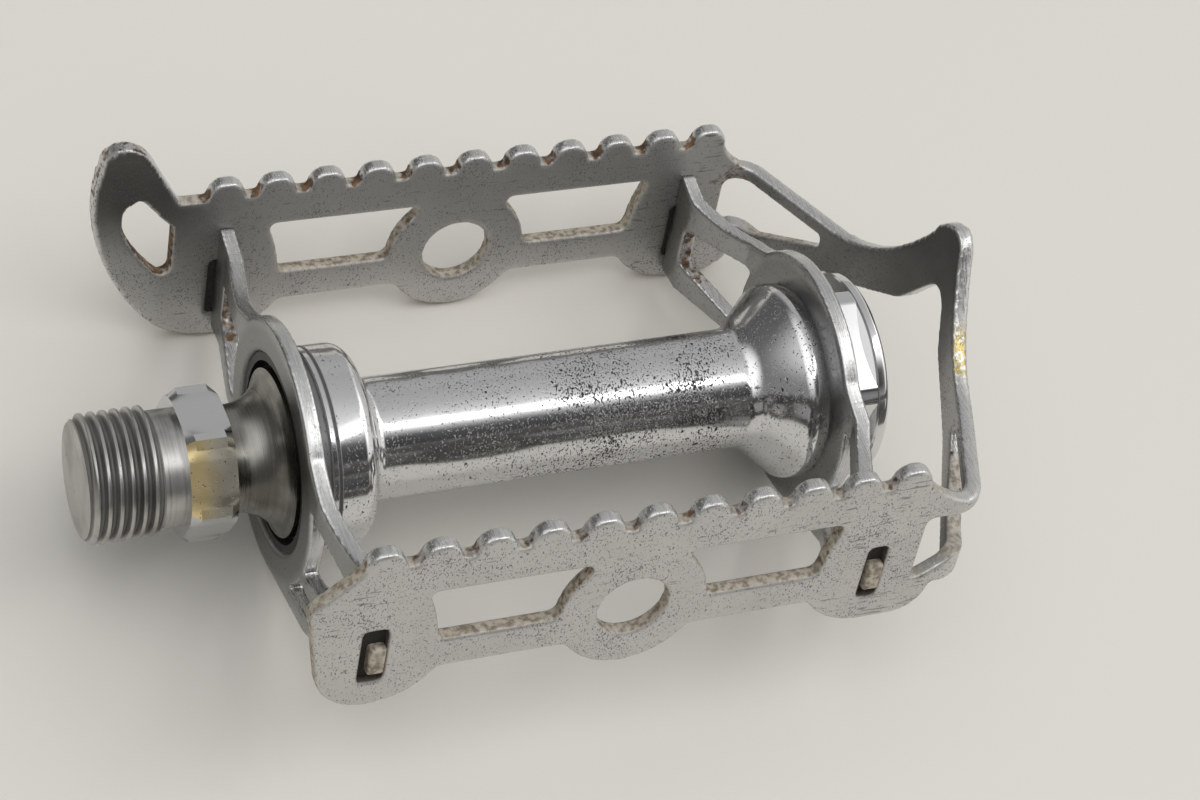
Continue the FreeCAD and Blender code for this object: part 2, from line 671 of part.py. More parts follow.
def cage():
    """One-piece cage: near plate, outer end with its horn, far plate with its ear."""
    bend_x = SLOT_X - EAR_BEND_X
    ear = math.radians(EAR_ANGLE)
    ear_run = EAR_OUT + REACH
    bow = ((NEAR_CORNER_X + HORN_X) / 2 + NEAR_BOW, -CAGE_HALF / 2)
    corners = [(SLOT_X - NEAR_EDGE_TOP - SHEET, -CAGE_HALF), (NEAR_CORNER_X, -CAGE_HALF), bow, (HORN_X, 0),
               (FAR_CORNER_X, CAGE_HALF), (bend_x, CAGE_HALF),
               (bend_x - ear_run * math.cos(ear), CAGE_HALF + ear_run * math.sin(ear))]
    radii = [CORNER_BEND_R, NEAR_BOW_R, HORN_BEND_R, CORNER_BEND_R, EAR_BEND_R]
    wall = bent_wall(corners, radii, LOBE_Z - REACH, HORN_TIP + REACH)
    near = near_plate().extrude(V(0, CAGE_HALF, 0))
    near.translate(V(0, -END_SPLIT - CAGE_HALF, 0))
    far = far_plate().extrude(V(0, CAGE_HALF, 0))
    far.translate(V(0, END_SPLIT, 0))
    near = wall.common(near.cut(corner_window(NEAR_CORNER_X)))
    far = wall.common(far.cut(corner_window(FAR_CORNER_X)))
    end = lengthwise(end_outline(), OUTER_SLOT_X, HORN_OUT + REACH).cut(end_windows())
    body = wall.common(end).fuse([near, far])
    return body.cut(plate_cuts() + [ear_hole()]).removeSplitter()


def cross_plate(slot_x, dish, hole_r):
    """Ring on the barrel with two pierced arms, tenons in the cage slots, and a stay under the near arm."""
    ring_x = slot_x + dish
    flat = RING_R + RING_FLAT
    bend = PLATE_Y - ARM_SOLID
    corners = [(slot_x, -PLATE_Y), (slot_x, -bend), (ring_x, -flat)]
    corners += [(x, -y) for x, y in corners[::-1]]
    wall = bent_wall(corners, [SHEET] * 4, -2 * RING_R, 2 * RING_R)
    crown_y = RING_R * math.sin(math.radians(RING_CROWN))
    crown_z = RING_R * math.cos(math.radians(RING_CROWN))
    arm_y = math.sqrt(RING_R ** 2 - ARM_LOW ** 2)
    reach = math.hypot(PLATE_Y, STAY_END)
    touch = math.atan2(PLATE_Y, -STAY_END) - math.acos(RING_R / reach)
    touch_y = RING_R * math.sin(touch)
    touch_z = -RING_R * math.cos(touch)
    dip_y = (crown_y + PLATE_Y) / 2
    shape = Outline(front, (-crown_y, crown_z))
    shape.arc((0, RING_R), (crown_y, crown_z))
    shape.curve((dip_y, ARM_TOP), (PLATE_Y, ARM_END_TOP))
    shape.line((PLATE_Y, ARM_LOW), (arm_y, ARM_LOW))
    shape.arc((0, -RING_R), (-touch_y, touch_z))
    shape.line((-PLATE_Y, STAY_END), (-PLATE_Y, ARM_END_TOP))
    shape.curve((-dip_y, ARM_TOP), (-crown_y, crown_z))
    span = abs(dish) + 4 * SHEET
    start = ring_x - span
    blank = lengthwise(shape, start, 2 * span)
    band = rod(start, ring_x + span, RING_BAND_R)
    plate = wall.common(blank).cut(rod(start, ring_x + span, hole_r + FIT))
    slope = (STAY_END - touch_z) / (PLATE_Y - touch_y)
    lift = STAY_W / math.cos(math.atan(slope))
    stay = Outline(front, (-bend, STAY_END - slope * (PLATE_Y - bend) + lift))
    stay.line((-touch_y, touch_z + lift), (-touch_y, ARM_LOW), (-bend, ARM_LOW))
    cuts = [lengthwise(stay, start, 2 * span)]
    for way in (1, -1):
        window = Outline(front, (way * bend, ARM_WINDOW_LOW))
        window.line((way * bend, ARM_WINDOW_TOP), (way * ARM_WINDOW_IN, ARM_WINDOW_TOP + ARM_WINDOW_FLARE))
        window.line((way * ARM_WINDOW_IN, ARM_WINDOW_LOW - ARM_WINDOW_FLARE))
        prism = lengthwise(window, start, 2 * span)
        along = [e for e in prism.Edges if e.Length > 2 * span - FIT]
        outer = [e for e in along if abs(e.Vertexes[0].Y) > bend - FIT]
        cuts.append(prism.makeFillet(WINDOW_ROUND, outer))
    plate = plate.cut([cut.cut(band) for cut in cuts])
    sides = (slot_x - SHEET / 2, slot_x + SHEET / 2)
    for y0, y1 in ((PLATE_Y, PLATE_Y + TENON_LEN), (-PLATE_Y - TENON_LEN, -PLATE_Y)):
        plate = plate.fuse(box_between(*sides, y0, y1, TENON_LOW, TENON_TOP))
    return plate.removeSplitter()


def at_rest(shape):
    """Turn a piece of the pedal about the spindle to the attitude in which it lies on a table."""
    shape.rotate(ORIGIN, X_AXIS, -math.degrees(REST_TILT))
    return shape


def main():
    """Build every piece and write it to its own file."""
    turning = {
        "cage": cage(),
        "inner_cross_plate": cross_plate(SLOT_X, INNER_DISH, FLANGE_R),
        "outer_cross_plate": cross_plate(OUTER_SLOT_X, OUTER_DISH, SPIGOT_R),
        "barrel": barrel(),
        "inner_bearing_cup": cup(INNER_BALL_X, 1),
        "outer_bearing_cup": cup(OUTER_BALL_X, -1),
        "dust_seal": dust_seal(),
        "dust_cap": dust_cap(),
    }
    pieces = {
        "spindle": spindle(),
        "outer_cone": outer_cone(),
        "lock_washer": lock_washer(),
        "lock_nut": lock_nut(),
    }
    for name, shape in turning.items():
        pieces[name] = at_rest(shape)
    for name, ball_x in (("inner_ball", INNER_BALL_X), ("outer_ball", OUTER_BALL_X)):
        for i, shape in enumerate(balls(ball_x), 1):
            pieces[f"{name}_{i:02d}"] = shape
    os.makedirs("parts", exist_ok=True)
    for name, shape in pieces.items():
        shape.exportStep(os.path.join("parts", name + ".step"))


main()
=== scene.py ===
"""Looks of the quill pedal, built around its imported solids.

Places are in the part's own frame: the spindle along X from the crank outwards, Z up, the plain
cage plate at -Y, and the pedal as it rests on a table. Sizes in the classes are millimetres.
"""
from __future__ import annotations

import json
import logging
import math
from dataclasses import dataclass
from enum import Enum
from typing import Callable, Sequence

import bpy
import numpy as np
from mathutils import Matrix, Vector

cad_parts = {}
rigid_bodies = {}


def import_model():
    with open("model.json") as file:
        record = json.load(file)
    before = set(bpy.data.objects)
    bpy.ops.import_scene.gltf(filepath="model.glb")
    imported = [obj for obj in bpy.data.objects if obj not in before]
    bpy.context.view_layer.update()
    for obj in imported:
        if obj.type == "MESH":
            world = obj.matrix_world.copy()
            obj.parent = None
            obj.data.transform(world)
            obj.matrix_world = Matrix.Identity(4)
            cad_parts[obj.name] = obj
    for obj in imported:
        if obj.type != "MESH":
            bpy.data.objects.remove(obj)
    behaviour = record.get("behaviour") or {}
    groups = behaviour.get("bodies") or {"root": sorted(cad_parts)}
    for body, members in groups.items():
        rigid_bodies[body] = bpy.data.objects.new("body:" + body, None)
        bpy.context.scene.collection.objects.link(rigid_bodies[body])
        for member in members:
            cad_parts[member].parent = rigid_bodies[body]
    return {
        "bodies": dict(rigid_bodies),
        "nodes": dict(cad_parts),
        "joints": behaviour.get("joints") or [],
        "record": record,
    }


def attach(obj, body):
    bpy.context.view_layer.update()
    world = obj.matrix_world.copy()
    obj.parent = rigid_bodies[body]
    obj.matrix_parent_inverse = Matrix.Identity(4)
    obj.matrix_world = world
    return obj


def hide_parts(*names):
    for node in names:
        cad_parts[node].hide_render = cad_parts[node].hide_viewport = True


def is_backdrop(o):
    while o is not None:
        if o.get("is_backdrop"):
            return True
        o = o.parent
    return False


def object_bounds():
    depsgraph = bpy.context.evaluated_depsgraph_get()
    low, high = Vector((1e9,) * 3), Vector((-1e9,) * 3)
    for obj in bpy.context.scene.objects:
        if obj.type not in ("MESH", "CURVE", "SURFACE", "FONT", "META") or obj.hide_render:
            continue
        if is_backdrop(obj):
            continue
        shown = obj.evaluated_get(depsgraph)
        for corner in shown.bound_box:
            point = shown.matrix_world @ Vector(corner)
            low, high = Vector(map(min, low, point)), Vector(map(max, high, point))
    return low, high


LOG = logging.getLogger("quill_pedal")
MM = 0.001
RELAX_SHARE = 0.5
WELD_GAP = 0.001
SHARP_ANGLE = 24.0

Point = tuple[float, float]
Colour = tuple[float, float, float]
Socket = bpy.types.NodeSocket


class Body(Enum):
    """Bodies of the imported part."""

    SPINDLE = "spindle"
    PEDAL = "pedal"
    INNER_BALLS = "inner_balls"
    OUTER_BALLS = "outer_balls"


class Slot(Enum):
    """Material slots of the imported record."""

    CAGE = "cage_steel"
    PLATE = "plate_steel"
    BARREL = "barrel_chrome"
    CAP = "cap_chrome"
    SPINDLE = "spindle_steel"
    BALL = "ball_steel"


class Mask(Enum):
    """Point attributes that tell a finish where a surface is cut, bare, rusty or stained, where it gets
    painted shade, with grease in the barrel's mouth, and where it gets painted shade with duller plating.
    """

    CUT = "cut"
    RAW = "raw"
    RUST = "rust"
    STAIN = "stain"
    # Painted shade on slot walls, hole walls, thread grooves and the barrel's end face; grease with painted
    # shade in the barrel's mouth; a dark line round its flange.
    SHADE_AND_GRIME = "grime"
    # Painted shade on faces inside the cage and on the cross plates, where the plating is also rougher.
    DULL_AND_SHADE = "dull"


@dataclass(frozen=True)
class Layout:
    """Places that several pieces share, measured with the cage upright, before it is laid down."""

    slot_x: float = 13.4
    slot_span: float = 57.5
    cage_half: float = 29.5
    sheet: float = 1.9
    ring_r: float = 15.0
    lobe_z: float = -8.15

    @property
    def outer_slot_x(self) -> float:
        """Place of the outer slots."""
        return self.slot_x + self.slot_span

    @property
    def eye_x(self) -> float:
        """Place of the round holes, midway between the slots."""
        return self.slot_x + self.slot_span / 2

    @property
    def tilt(self) -> float:
        """Angle about the spindle at which both rings and the far lobes touch the table."""
        lobe_y = self.cage_half + self.sheet / 2
        reach = math.hypot(lobe_y, self.lobe_z)
        return math.asin(self.ring_r / reach) - math.atan2(-self.lobe_z, lobe_y)

    def lay_down(self) -> Matrix:
        """Matrix from the upright cage in millimetres to the part's frame in metres."""
        return Matrix.Rotation(-self.tilt, 4, "X") @ Matrix.Scale(MM, 4)


LAYOUT = Layout()


class Graph:
    """A node tree with short calls to add and join nodes."""

    def __init__(self, tree: bpy.types.NodeTree) -> None:
        self.tree = tree

    def add(self, kind: str, inputs: dict | None = None, **settings: object) -> bpy.types.Node:
        """Add a node.

        Args:
            kind: The node's type name.
            inputs: Values or sockets by input name or index.
            settings: Properties of the node.

        Returns:
            The new node.
        """
        node = self.tree.nodes.new(kind)
        for name, value in settings.items():
            setattr(node, name, value)
        for key, value in (inputs or {}).items():
            self.feed(node.inputs[key], value)
        return node

    def feed(self, socket: Socket, value: object) -> None:
        """Join a socket to another one, or set its value.

        Args:
            socket: The input to feed.
            value: An output socket, a colour or a plain value.
        """
        if isinstance(value, Socket):
            self.tree.links.new(value, socket)
        elif isinstance(value, (tuple, list)) and socket.type == "RGBA":
            socket.default_value = (*value[:3], 1.0)
        else:
            socket.default_value = value

    def math(self, operation: str, *values: object, clamp: bool = False) -> Socket:
        """Output of a Math node on up to three values."""
        node = self.add("ShaderNodeMath", operation=operation, use_clamp=clamp)
        for socket, value in zip(node.inputs, values):
            self.feed(socket, value)
        return node.outputs[0]

    def step(self, value: object, low: float, high: float) -> Socket:
        """Smooth step of a value from 0 at low to 1 at high, either way round."""
        node = self.add("ShaderNodeMapRange", interpolation_type="SMOOTHSTEP")
        for name, item in (("Value", value), ("From Min", low), ("From Max", high)):
            self.feed(node.inputs[name], item)
        return node.outputs["Result"]

    def mix(self, factor: object, first: object, second: object) -> Socket:
        """Blend of two colours."""
        node = self.add("ShaderNodeMix", data_type="RGBA")
        self.feed(node.inputs[0], factor)
        self.feed(node.inputs[6], first)
        self.feed(node.inputs[7], second)
        return node.outputs[2]

    def blend(self, factor: object, first: object, second: object) -> Socket:
        """Blend of two numbers."""
        node = self.add("ShaderNodeMix", data_type="FLOAT")
        self.feed(node.inputs[0], factor)
        self.feed(node.inputs[2], first)
        self.feed(node.inputs[3], second)
        return node.outputs[0]

    def place(self, stretch: Sequence[float] = (1, 1, 1)) -> Socket:
        """Object coordinates, stretched along the axes."""
        coordinates = self.add("ShaderNodeTexCoord").outputs["Object"]
        if tuple(stretch) == (1, 1, 1):
            return coordinates
        node = self.add("ShaderNodeMapping", {"Vector": coordinates, "Scale": tuple(stretch)})
        return node.outputs["Vector"]

    def noise(self, vector: object, scale: object, detail: float = 3.0) -> Socket:
        """Noise value between 0 and 1."""
        node = self.add("ShaderNodeTexNoise", {"Vector": vector, "Scale": scale, "Detail": detail})
        return node.outputs["Fac"]

    def mask(self, which: Mask) -> Socket:
        """Value of one of the piece's point attributes."""
        return self.add("ShaderNodeAttribute", attribute_name=which.value).outputs["Fac"]


def shader_group(name: str, inputs: dict[str, float], outputs: Sequence[str],
                 fill: Callable[[Graph, dict], dict]) -> bpy.types.NodeTree:
    """Build a shared effect once.

    Args:
        name: Name of the group.
        inputs: Number inputs and their defaults.
        outputs: Names of the number outputs.
        fill: Makes the inner nodes from the graph and the input sockets, and returns the outputs.

    Returns:
        The group's node tree.
    """
    tree = bpy.data.node_groups.get(name)
    if tree:
        return tree
    tree = bpy.data.node_groups.new(name, "ShaderNodeTree")
    for label, value in inputs.items():
        socket = tree.interface.new_socket(label, in_out="INPUT", socket_type="NodeSocketFloat")
        socket.default_value = value
    for label in outputs:
        tree.interface.new_socket(label, in_out="OUTPUT", socket_type="NodeSocketFloat")
    graph = Graph(tree)
    source = graph.add("NodeGroupInput")
    made = fill(graph, {label: source.outputs[label] for label in inputs})
    sink = graph.add("NodeGroupOutput")
    for label in outputs:
        graph.feed(sink.inputs[label], made[label])
    return tree


def flecks(graph: Graph, scale: float, share: object) -> Socket:
    """Ragged dark flecks in plating, as a mask from 0 to 1.

    Args:
        graph: Where the group is placed.
        scale: Flecks per metre.
        share: How thickly they lie, from 0 to about 1.

    Returns:
        The mask.
    """
    stretch, drift_scale = (1.3, 0.85, 0.85), 140.0
    least_reach, drift_reach = 0.35, 1.3
    bare_edge, edge_drop, sharpness = 0.77, 0.17, 16.0

    def fill(inner: Graph, given: dict) -> dict:
        grain = inner.noise(inner.place(stretch), given["Scale"], 3.0)
        drift = inner.noise(inner.place(), drift_scale, 3.0)
        spread = inner.math("MULTIPLY_ADD", drift, drift_reach, least_reach)
        reach = inner.math("MULTIPLY", given["Share"], spread)
        edge = inner.math("MULTIPLY_ADD", reach, -edge_drop, bare_edge)
        return {"Mask": inner.math("MULTIPLY", inner.math("SUBTRACT", grain, edge), sharpness, clamp=True)}

    tree = shader_group("Plating Flecks", {"Scale": 2000.0, "Share": 0.5}, ["Mask"], fill)
    return graph.add("ShaderNodeGroup", {"Scale": scale, "Share": share}, node_tree=tree).outputs["Mask"]


def scratches(graph: Graph, scale: float, share: object) -> Socket:
    """Short fine scratches along the spindle, as a mask from 0 to 1.

    Args:
        graph: Where the group is placed.
        scale: Scratches per metre across their length.
        share: How much of the surface they cover.

    Returns:
        The mask.
    """
    stretch, break_scale = (0.14, 1.0, 1.0), 240.0
    bare_level, sharpness = 0.24, 9.0

    def fill(inner: Graph, given: dict) -> dict:
        lines = inner.noise(inner.place(stretch), given["Scale"], 1.0)
        broken = inner.noise(inner.place(), break_scale, 2.0)
        level = inner.math("MULTIPLY_ADD", given["Share"], broken, bare_level)
        return {"Mask": inner.math("MULTIPLY", inner.math("SUBTRACT", level, lines), sharpness, clamp=True)}

    tree = shader_group("Plating Scratches", {"Scale": 3200.0, "Share": 0.1}, ["Mask"], fill)
    node = graph.add("ShaderNodeGroup", {"Scale": scale, "Share": share}, node_tree=tree)
    return node.outputs["Mask"]


def rust(graph: Graph, where: object, amount: float) -> tuple[Socket, Socket]:
    """Rust that breaks up a mask.

    Args:
        graph: Where the group is placed.
        where: Mask of the places that rust.
        amount: How far the rust spreads over them.

    Returns:
        The rust mask, and a tone from 0, dark brown, to 1, orange.
    """
    ragged_scale, ragged_reach, tone_scale = 1300.0, 1.15, 900.0
    soft_edge = 0.3

    def fill(inner: Graph, given: dict) -> dict:
        place = inner.place()
        ragged = inner.noise(place, ragged_scale, 6.0)
        reach = inner.math("MULTIPLY_ADD", given["Where"], given["Amount"], -1.0)
        spread = inner.math("ADD", reach, inner.math("MULTIPLY", ragged, ragged_reach))
        return {"Mask": inner.step(spread, 0.0, soft_edge), "Tone": inner.noise(place, tone_scale, 4.0)}

    tree = shader_group("Rust", {"Where": 0.0, "Amount": 1.0}, ["Mask", "Tone"], fill)
    node = graph.add("ShaderNodeGroup", {"Where": where, "Amount": amount}, node_tree=tree)
    return node.outputs["Mask"], node.outputs["Tone"]


def turning(graph: Graph, scale: float) -> tuple[Socket, Socket]:
    """Fine turning lines round the spindle axis.

    Args:
        graph: Where the group is placed.
        scale: Lines per metre along the axis.

    Returns:
        The lines and slow patches, both as values round 0.5.
    """
    stretch, patch_scale = (1.0, 0.02, 0.02), 160.0

    def fill(inner: Graph, given: dict) -> dict:
        fine = inner.noise(inner.place(stretch), given["Scale"], 2.0)
        return {"Lines": fine, "Patches": inner.noise(inner.place(), patch_scale, 3.0)}

    tree = shader_group("Turning Lines", {"Scale": 4000.0}, ["Lines", "Patches"], fill)
    node = graph.add("ShaderNodeGroup", {"Scale": scale}, node_tree=tree)
    return node.outputs["Lines"], node.outputs["Patches"]


def shaded(colour: Colour, factor: float) -> Colour:
    """A colour made darker or lighter."""
    return tuple(min(1.0, part * factor) for part in colour)


@dataclass(frozen=True)
class Finish:
    """A metal finish that makes its own material."""

    name: str
    colour: Colour
    roughness: float
    drift_scale: float = 220.0

    def material(self) -> bpy.types.Material:
        """Make the finish's material on first use.

        Returns:
            The material.
        """
        found = bpy.data.materials.get(self.name)
        if found:
            return found
        made = bpy.data.materials.new(self.name)
        made.use_nodes = True
        graph = Graph(made.node_tree)
        shader = made.node_tree.nodes["Principled BSDF"]
        shader.inputs["Metallic"].default_value = 1.0
        shader.inputs["Roughness"].default_value = self.roughness
        shader.inputs["Base Color"].default_value = (*self.colour, 1.0)
        self.dress(graph, shader)
        return made

    def dress(self, graph: Graph, shader: bpy.types.Node) -> None:
        """Add what varies over the surface.

        Args:
            graph: The material's nodes.
            shader: Its Principled shader.
        """
        drift = graph.noise(graph.place(), self.drift_scale, 4.0)
        graph.feed(shader.inputs["Roughness"], self.between(graph, drift, 0.7, 1.4))

    def between(self, graph: Graph, factor: object, low: float, high: float) -> Socket:
        """Roughness that runs from low to high times the finish's own."""
        return graph.blend(factor, self.roughness * low, self.roughness * high)

    @staticmethod
    def bump(graph: Graph, shader: bpy.types.Node, height: object, depth: float) -> None:
        """Feed a height, of this depth in millimetres, to the shader's normal."""
        node = graph.add("ShaderNodeBump", {"Height": height, "Distance": depth * MM, "Strength": 1.0})
        graph.feed(shader.inputs["Normal"], node.outputs["Normal"])


@dataclass(frozen=True)
class PittedChrome(Finish):
    """Mirror plating with dark pits that lie thickest past the middle.

    Where worn_colour is given, the plating fades to it along the spindle, between the two places
    in worn_x, with an edge as ragged as worn_spread.
    """

    pit_colour: Colour = (0.022, 0.018, 0.014)
    # near-black colour of grease and painted shade in the barrel's mouth and on its end face
    grease_and_shade_colour: Colour = (0.012, 0.011, 0.010)
    pit_roughness: float = 0.6
    grease_and_shade_roughness: float = 0.45
    pit_depth: float = 0.03
    fine_scale: float = 4100.0
    coarse_scale: float = 2100.0
    coarse_share: float = 0.8
    haze_scale: float = 300.0
    start_x: float = 22.0
    mid_x: float = 52.0
    end_x: float = 74.0
    least: float = 0.80
    most: float = 1.28
    worn_colour: Colour | None = None
    worn_x: Point = (2.6, 5.2)
    worn_spread: float = 3.0

    def dress(self, graph: Graph, shader: bpy.types.Node) -> None:
        """Flecks of two sizes, thicker along the spindle, a soft haze, and grease with painted shade by mask.

        Args:
            graph: The material's nodes.
            shader: Its Principled shader.
        """
        along = graph.add("ShaderNodeSeparateXYZ", {0: graph.place()}).outputs["X"]
        rise = graph.step(along, self.start_x * MM, self.mid_x * MM)
        thick = graph.math("MULTIPLY", rise, graph.step(along, self.end_x * MM, self.mid_x * MM))
        share = graph.blend(thick, self.least, self.most)
        fine = flecks(graph, self.fine_scale, share)
        coarse = flecks(graph, self.coarse_scale, graph.math("MULTIPLY", share, self.coarse_share))
        spots = graph.math("MAXIMUM", fine, coarse)
        haze = graph.noise(graph.place(), self.haze_scale, 4.0)
        # painted shade, with grease in the mouth, from the mask
        grease_and_shade = graph.mask(Mask.SHADE_AND_GRIME)
        plating = self.colour
        if self.worn_colour:
            ragged = graph.math("MULTIPLY_ADD", haze, self.worn_spread * MM, along)
            worn = graph.step(ragged, self.worn_x[0] * MM, self.worn_x[1] * MM)
            plating = graph.mix(worn, self.colour, self.worn_colour)
        colour = graph.mix(spots, plating, self.pit_colour)
        graph.feed(shader.inputs["Base Color"], graph.mix(grease_and_shade, colour, self.grease_and_shade_colour))
        rough = graph.blend(spots, self.between(graph, haze, 0.7, 1.5), self.pit_roughness)
        graph.feed(shader.inputs["Roughness"], graph.blend(grease_and_shade, rough, self.grease_and_shade_roughness))
        dull = graph.math("MAXIMUM", graph.math("MULTIPLY", spots, 0.9), grease_and_shade)
        graph.feed(shader.inputs["Metallic"], graph.math("SUBTRACT", 1.0, dull))
        self.bump(graph, shader, graph.math("MULTIPLY", spots, -1.0), self.pit_depth)


@dataclass
class PlateMarks:
    """Masks and patterns that the channels of a worn plate share."""

    cut: Socket
    raw: Socket
    # painted shade on inside faces, with duller plating
    dull: Socket
    # painted shade on slot and hole walls, with grease in the barrel's mouth
    grime: Socket
    stain: Socket
    flecks: Socket
    lines: Socket
    clouds: Socket
    shear: Socket
    grain: Socket
    crust: Socket
    crust_tone: Socket


@dataclass(frozen=True)
class WornPlate(Finish):
    """Satin plated sheet with speckle, scratches, bright sheared edges and rust."""

    speck_colour: Colour = (0.11, 0.10, 0.09)
    cut_colour: Colour = (0.80, 0.80, 0.79)
    raw_dark: Colour = (0.22, 0.175, 0.120)
    raw_light: Colour = (0.56, 0.50, 0.405)
    # colour of the painted shade on inside faces
    inside_shade_colour: Colour = (0.130, 0.128, 0.122)
    rust_dark: Colour = (0.050, 0.026, 0.014)
    rust_light: Colour = (0.22, 0.125, 0.058)
    stain_colour: Colour = (0.46, 0.375, 0.15)
    # colour of the painted shade on slot and hole walls
    wall_shade_colour: Colour = (0.035, 0.030, 0.024)
    specks: float = 1.1
    rusting: float = 1.0
    fine_scale: float = 4200.0
    coarse_scale: float = 1900.0
    coarse_share: float = 0.6
    scratch_scale: float = 3000.0
    scratch_share: Point = (0.16, 0.30)
    scratch_x: Point = (50.0, 72.0)
    cloud_scale: float = 130.0
    shear_scale: float = 5200.0
    grain_scale: float = 1500.0
    skin_scale: float = 1900.0
    mark_roughness: float = 0.65
    crust_roughness: float = 0.75
    cut_roughness: Point = (0.16, 0.40)
    relief_depth: float = 0.03

    def marks(self, graph: Graph) -> PlateMarks:
        """Make the masks and patterns.

        Args:
            graph: The material's nodes.

        Returns:
            Their sockets.
        """
        fine = flecks(graph, self.fine_scale, self.specks)
        coarse = flecks(graph, self.coarse_scale, self.specks * self.coarse_share)
        along = graph.add("ShaderNodeSeparateXYZ", {0: graph.place()}).outputs["X"]
        outward = graph.step(along, self.scratch_x[0] * MM, self.scratch_x[1] * MM)
        grain = graph.noise(graph.place(), self.grain_scale, 5.0)
        crust, crust_tone = rust(graph, graph.mask(Mask.RUST), self.rusting)
        return PlateMarks(
            cut=graph.mask(Mask.CUT), raw=graph.mask(Mask.RAW), dull=graph.mask(Mask.DULL_AND_SHADE),
            grime=graph.mask(Mask.SHADE_AND_GRIME),
            stain=graph.math("MULTIPLY", graph.mask(Mask.STAIN), graph.step(grain, 0.42, 0.56)),
            flecks=graph.math("MAXIMUM", fine, coarse),
            lines=scratches(graph, self.scratch_scale, graph.blend(outward, *self.scratch_share)),
            clouds=graph.noise(graph.place(), self.cloud_scale, 5.0),
            shear=graph.noise(graph.place((1.0, 0.06, 0.06)), self.shear_scale, 2.0),
            grain=grain, crust=crust, crust_tone=crust_tone)

    def paint(self, graph: Graph, on: PlateMarks) -> Socket:
        """Lay the colours over each other: face, scratches, specks, painted inside shade, edges, stain, rust
        and painted wall shade.

        Args:
            graph: The material's nodes.
            on: The masks and patterns.

        Returns:
            The colour.
        """
        face = graph.mix(on.clouds, shaded(self.colour, 0.84), shaded(self.colour, 1.12))
        # painted shade of the inside faces
        film = graph.mix(on.clouds, shaded(self.inside_shade_colour, 0.55), shaded(self.inside_shade_colour, 1.5))
        edge = graph.mix(on.shear, shaded(self.cut_colour, 0.55), self.cut_colour)
        bare = graph.mix(graph.step(on.grain, 0.34, 0.62), self.raw_dark, self.raw_light)
        rusty = graph.mix(graph.step(on.crust_tone, 0.35, 0.7), self.rust_dark, self.rust_light)
        # the film layer is painted inside shade, the last layer painted shade on slot and hole walls
        layers = ((graph.math("MULTIPLY", on.lines, 0.55), self.speck_colour),
                  (graph.math("MULTIPLY", on.flecks, 0.75), self.speck_colour),
                  (on.dull, film), (graph.math("MULTIPLY", on.cut, 0.85), edge), (on.raw, bare),
                  (on.stain, self.stain_colour), (on.crust, rusty), (on.grime, self.wall_shade_colour))
        colour = face
        for mask, layer in layers:
            colour = graph.mix(mask, colour, layer)
        return colour

    def relief(self, graph: Graph, on: PlateMarks) -> Socket:
        """Height of pits, scratches, skin, shear lines, bare grain and rust.

        Args:
            graph: The material's nodes.
            on: The masks and patterns.

        Returns:
            The height.
        """
        height = graph.math("MULTIPLY_ADD", on.flecks, -0.6, graph.math("MULTIPLY", on.lines, -0.3))
        skin = graph.noise(graph.place(), self.skin_scale, 4.0)
        bare = graph.math("MULTIPLY", on.grain, 2.0)
        for first, second in ((skin, 0.9), (on.shear, on.cut), (on.raw, bare), (on.crust, 0.8)):
            height = graph.math("ADD", height, graph.math("MULTIPLY", first, second))
        return height

    def dress(self, graph: Graph, shader: bpy.types.Node) -> None:
        """Flecks and scratches on the faces, shear lines on bright edges, the rest, painted shade among it,
        by mask.

        Args:
            graph: The material's nodes.
            shader: Its Principled shader.
        """
        on = self.marks(graph)
        graph.feed(shader.inputs["Base Color"], self.paint(graph, on))
        worn = self.between(graph, on.clouds, 0.8, 1.25)
        worn = graph.blend(on.dull, worn, self.roughness * 1.6)
        worn = graph.blend(on.cut, worn, graph.blend(on.shear, *self.cut_roughness))
        worn = graph.blend(on.flecks, worn, self.mark_roughness)
        coated = graph.math("MAXIMUM", on.crust, on.grime)
        rough = graph.math("MAXIMUM", coated, on.raw)
        graph.feed(shader.inputs["Roughness"], graph.blend(rough, worn, self.crust_roughness))
        matt = graph.math("MAXIMUM", coated, graph.math("MULTIPLY", on.raw, 0.75))
        matt = graph.math("MAXIMUM", matt, graph.math("MULTIPLY", on.flecks, 0.5))
        graph.feed(shader.inputs["Metallic"], graph.math("SUBTRACT", 1.0, matt))
        self.bump(graph, shader, self.relief(graph, on), self.relief_depth)


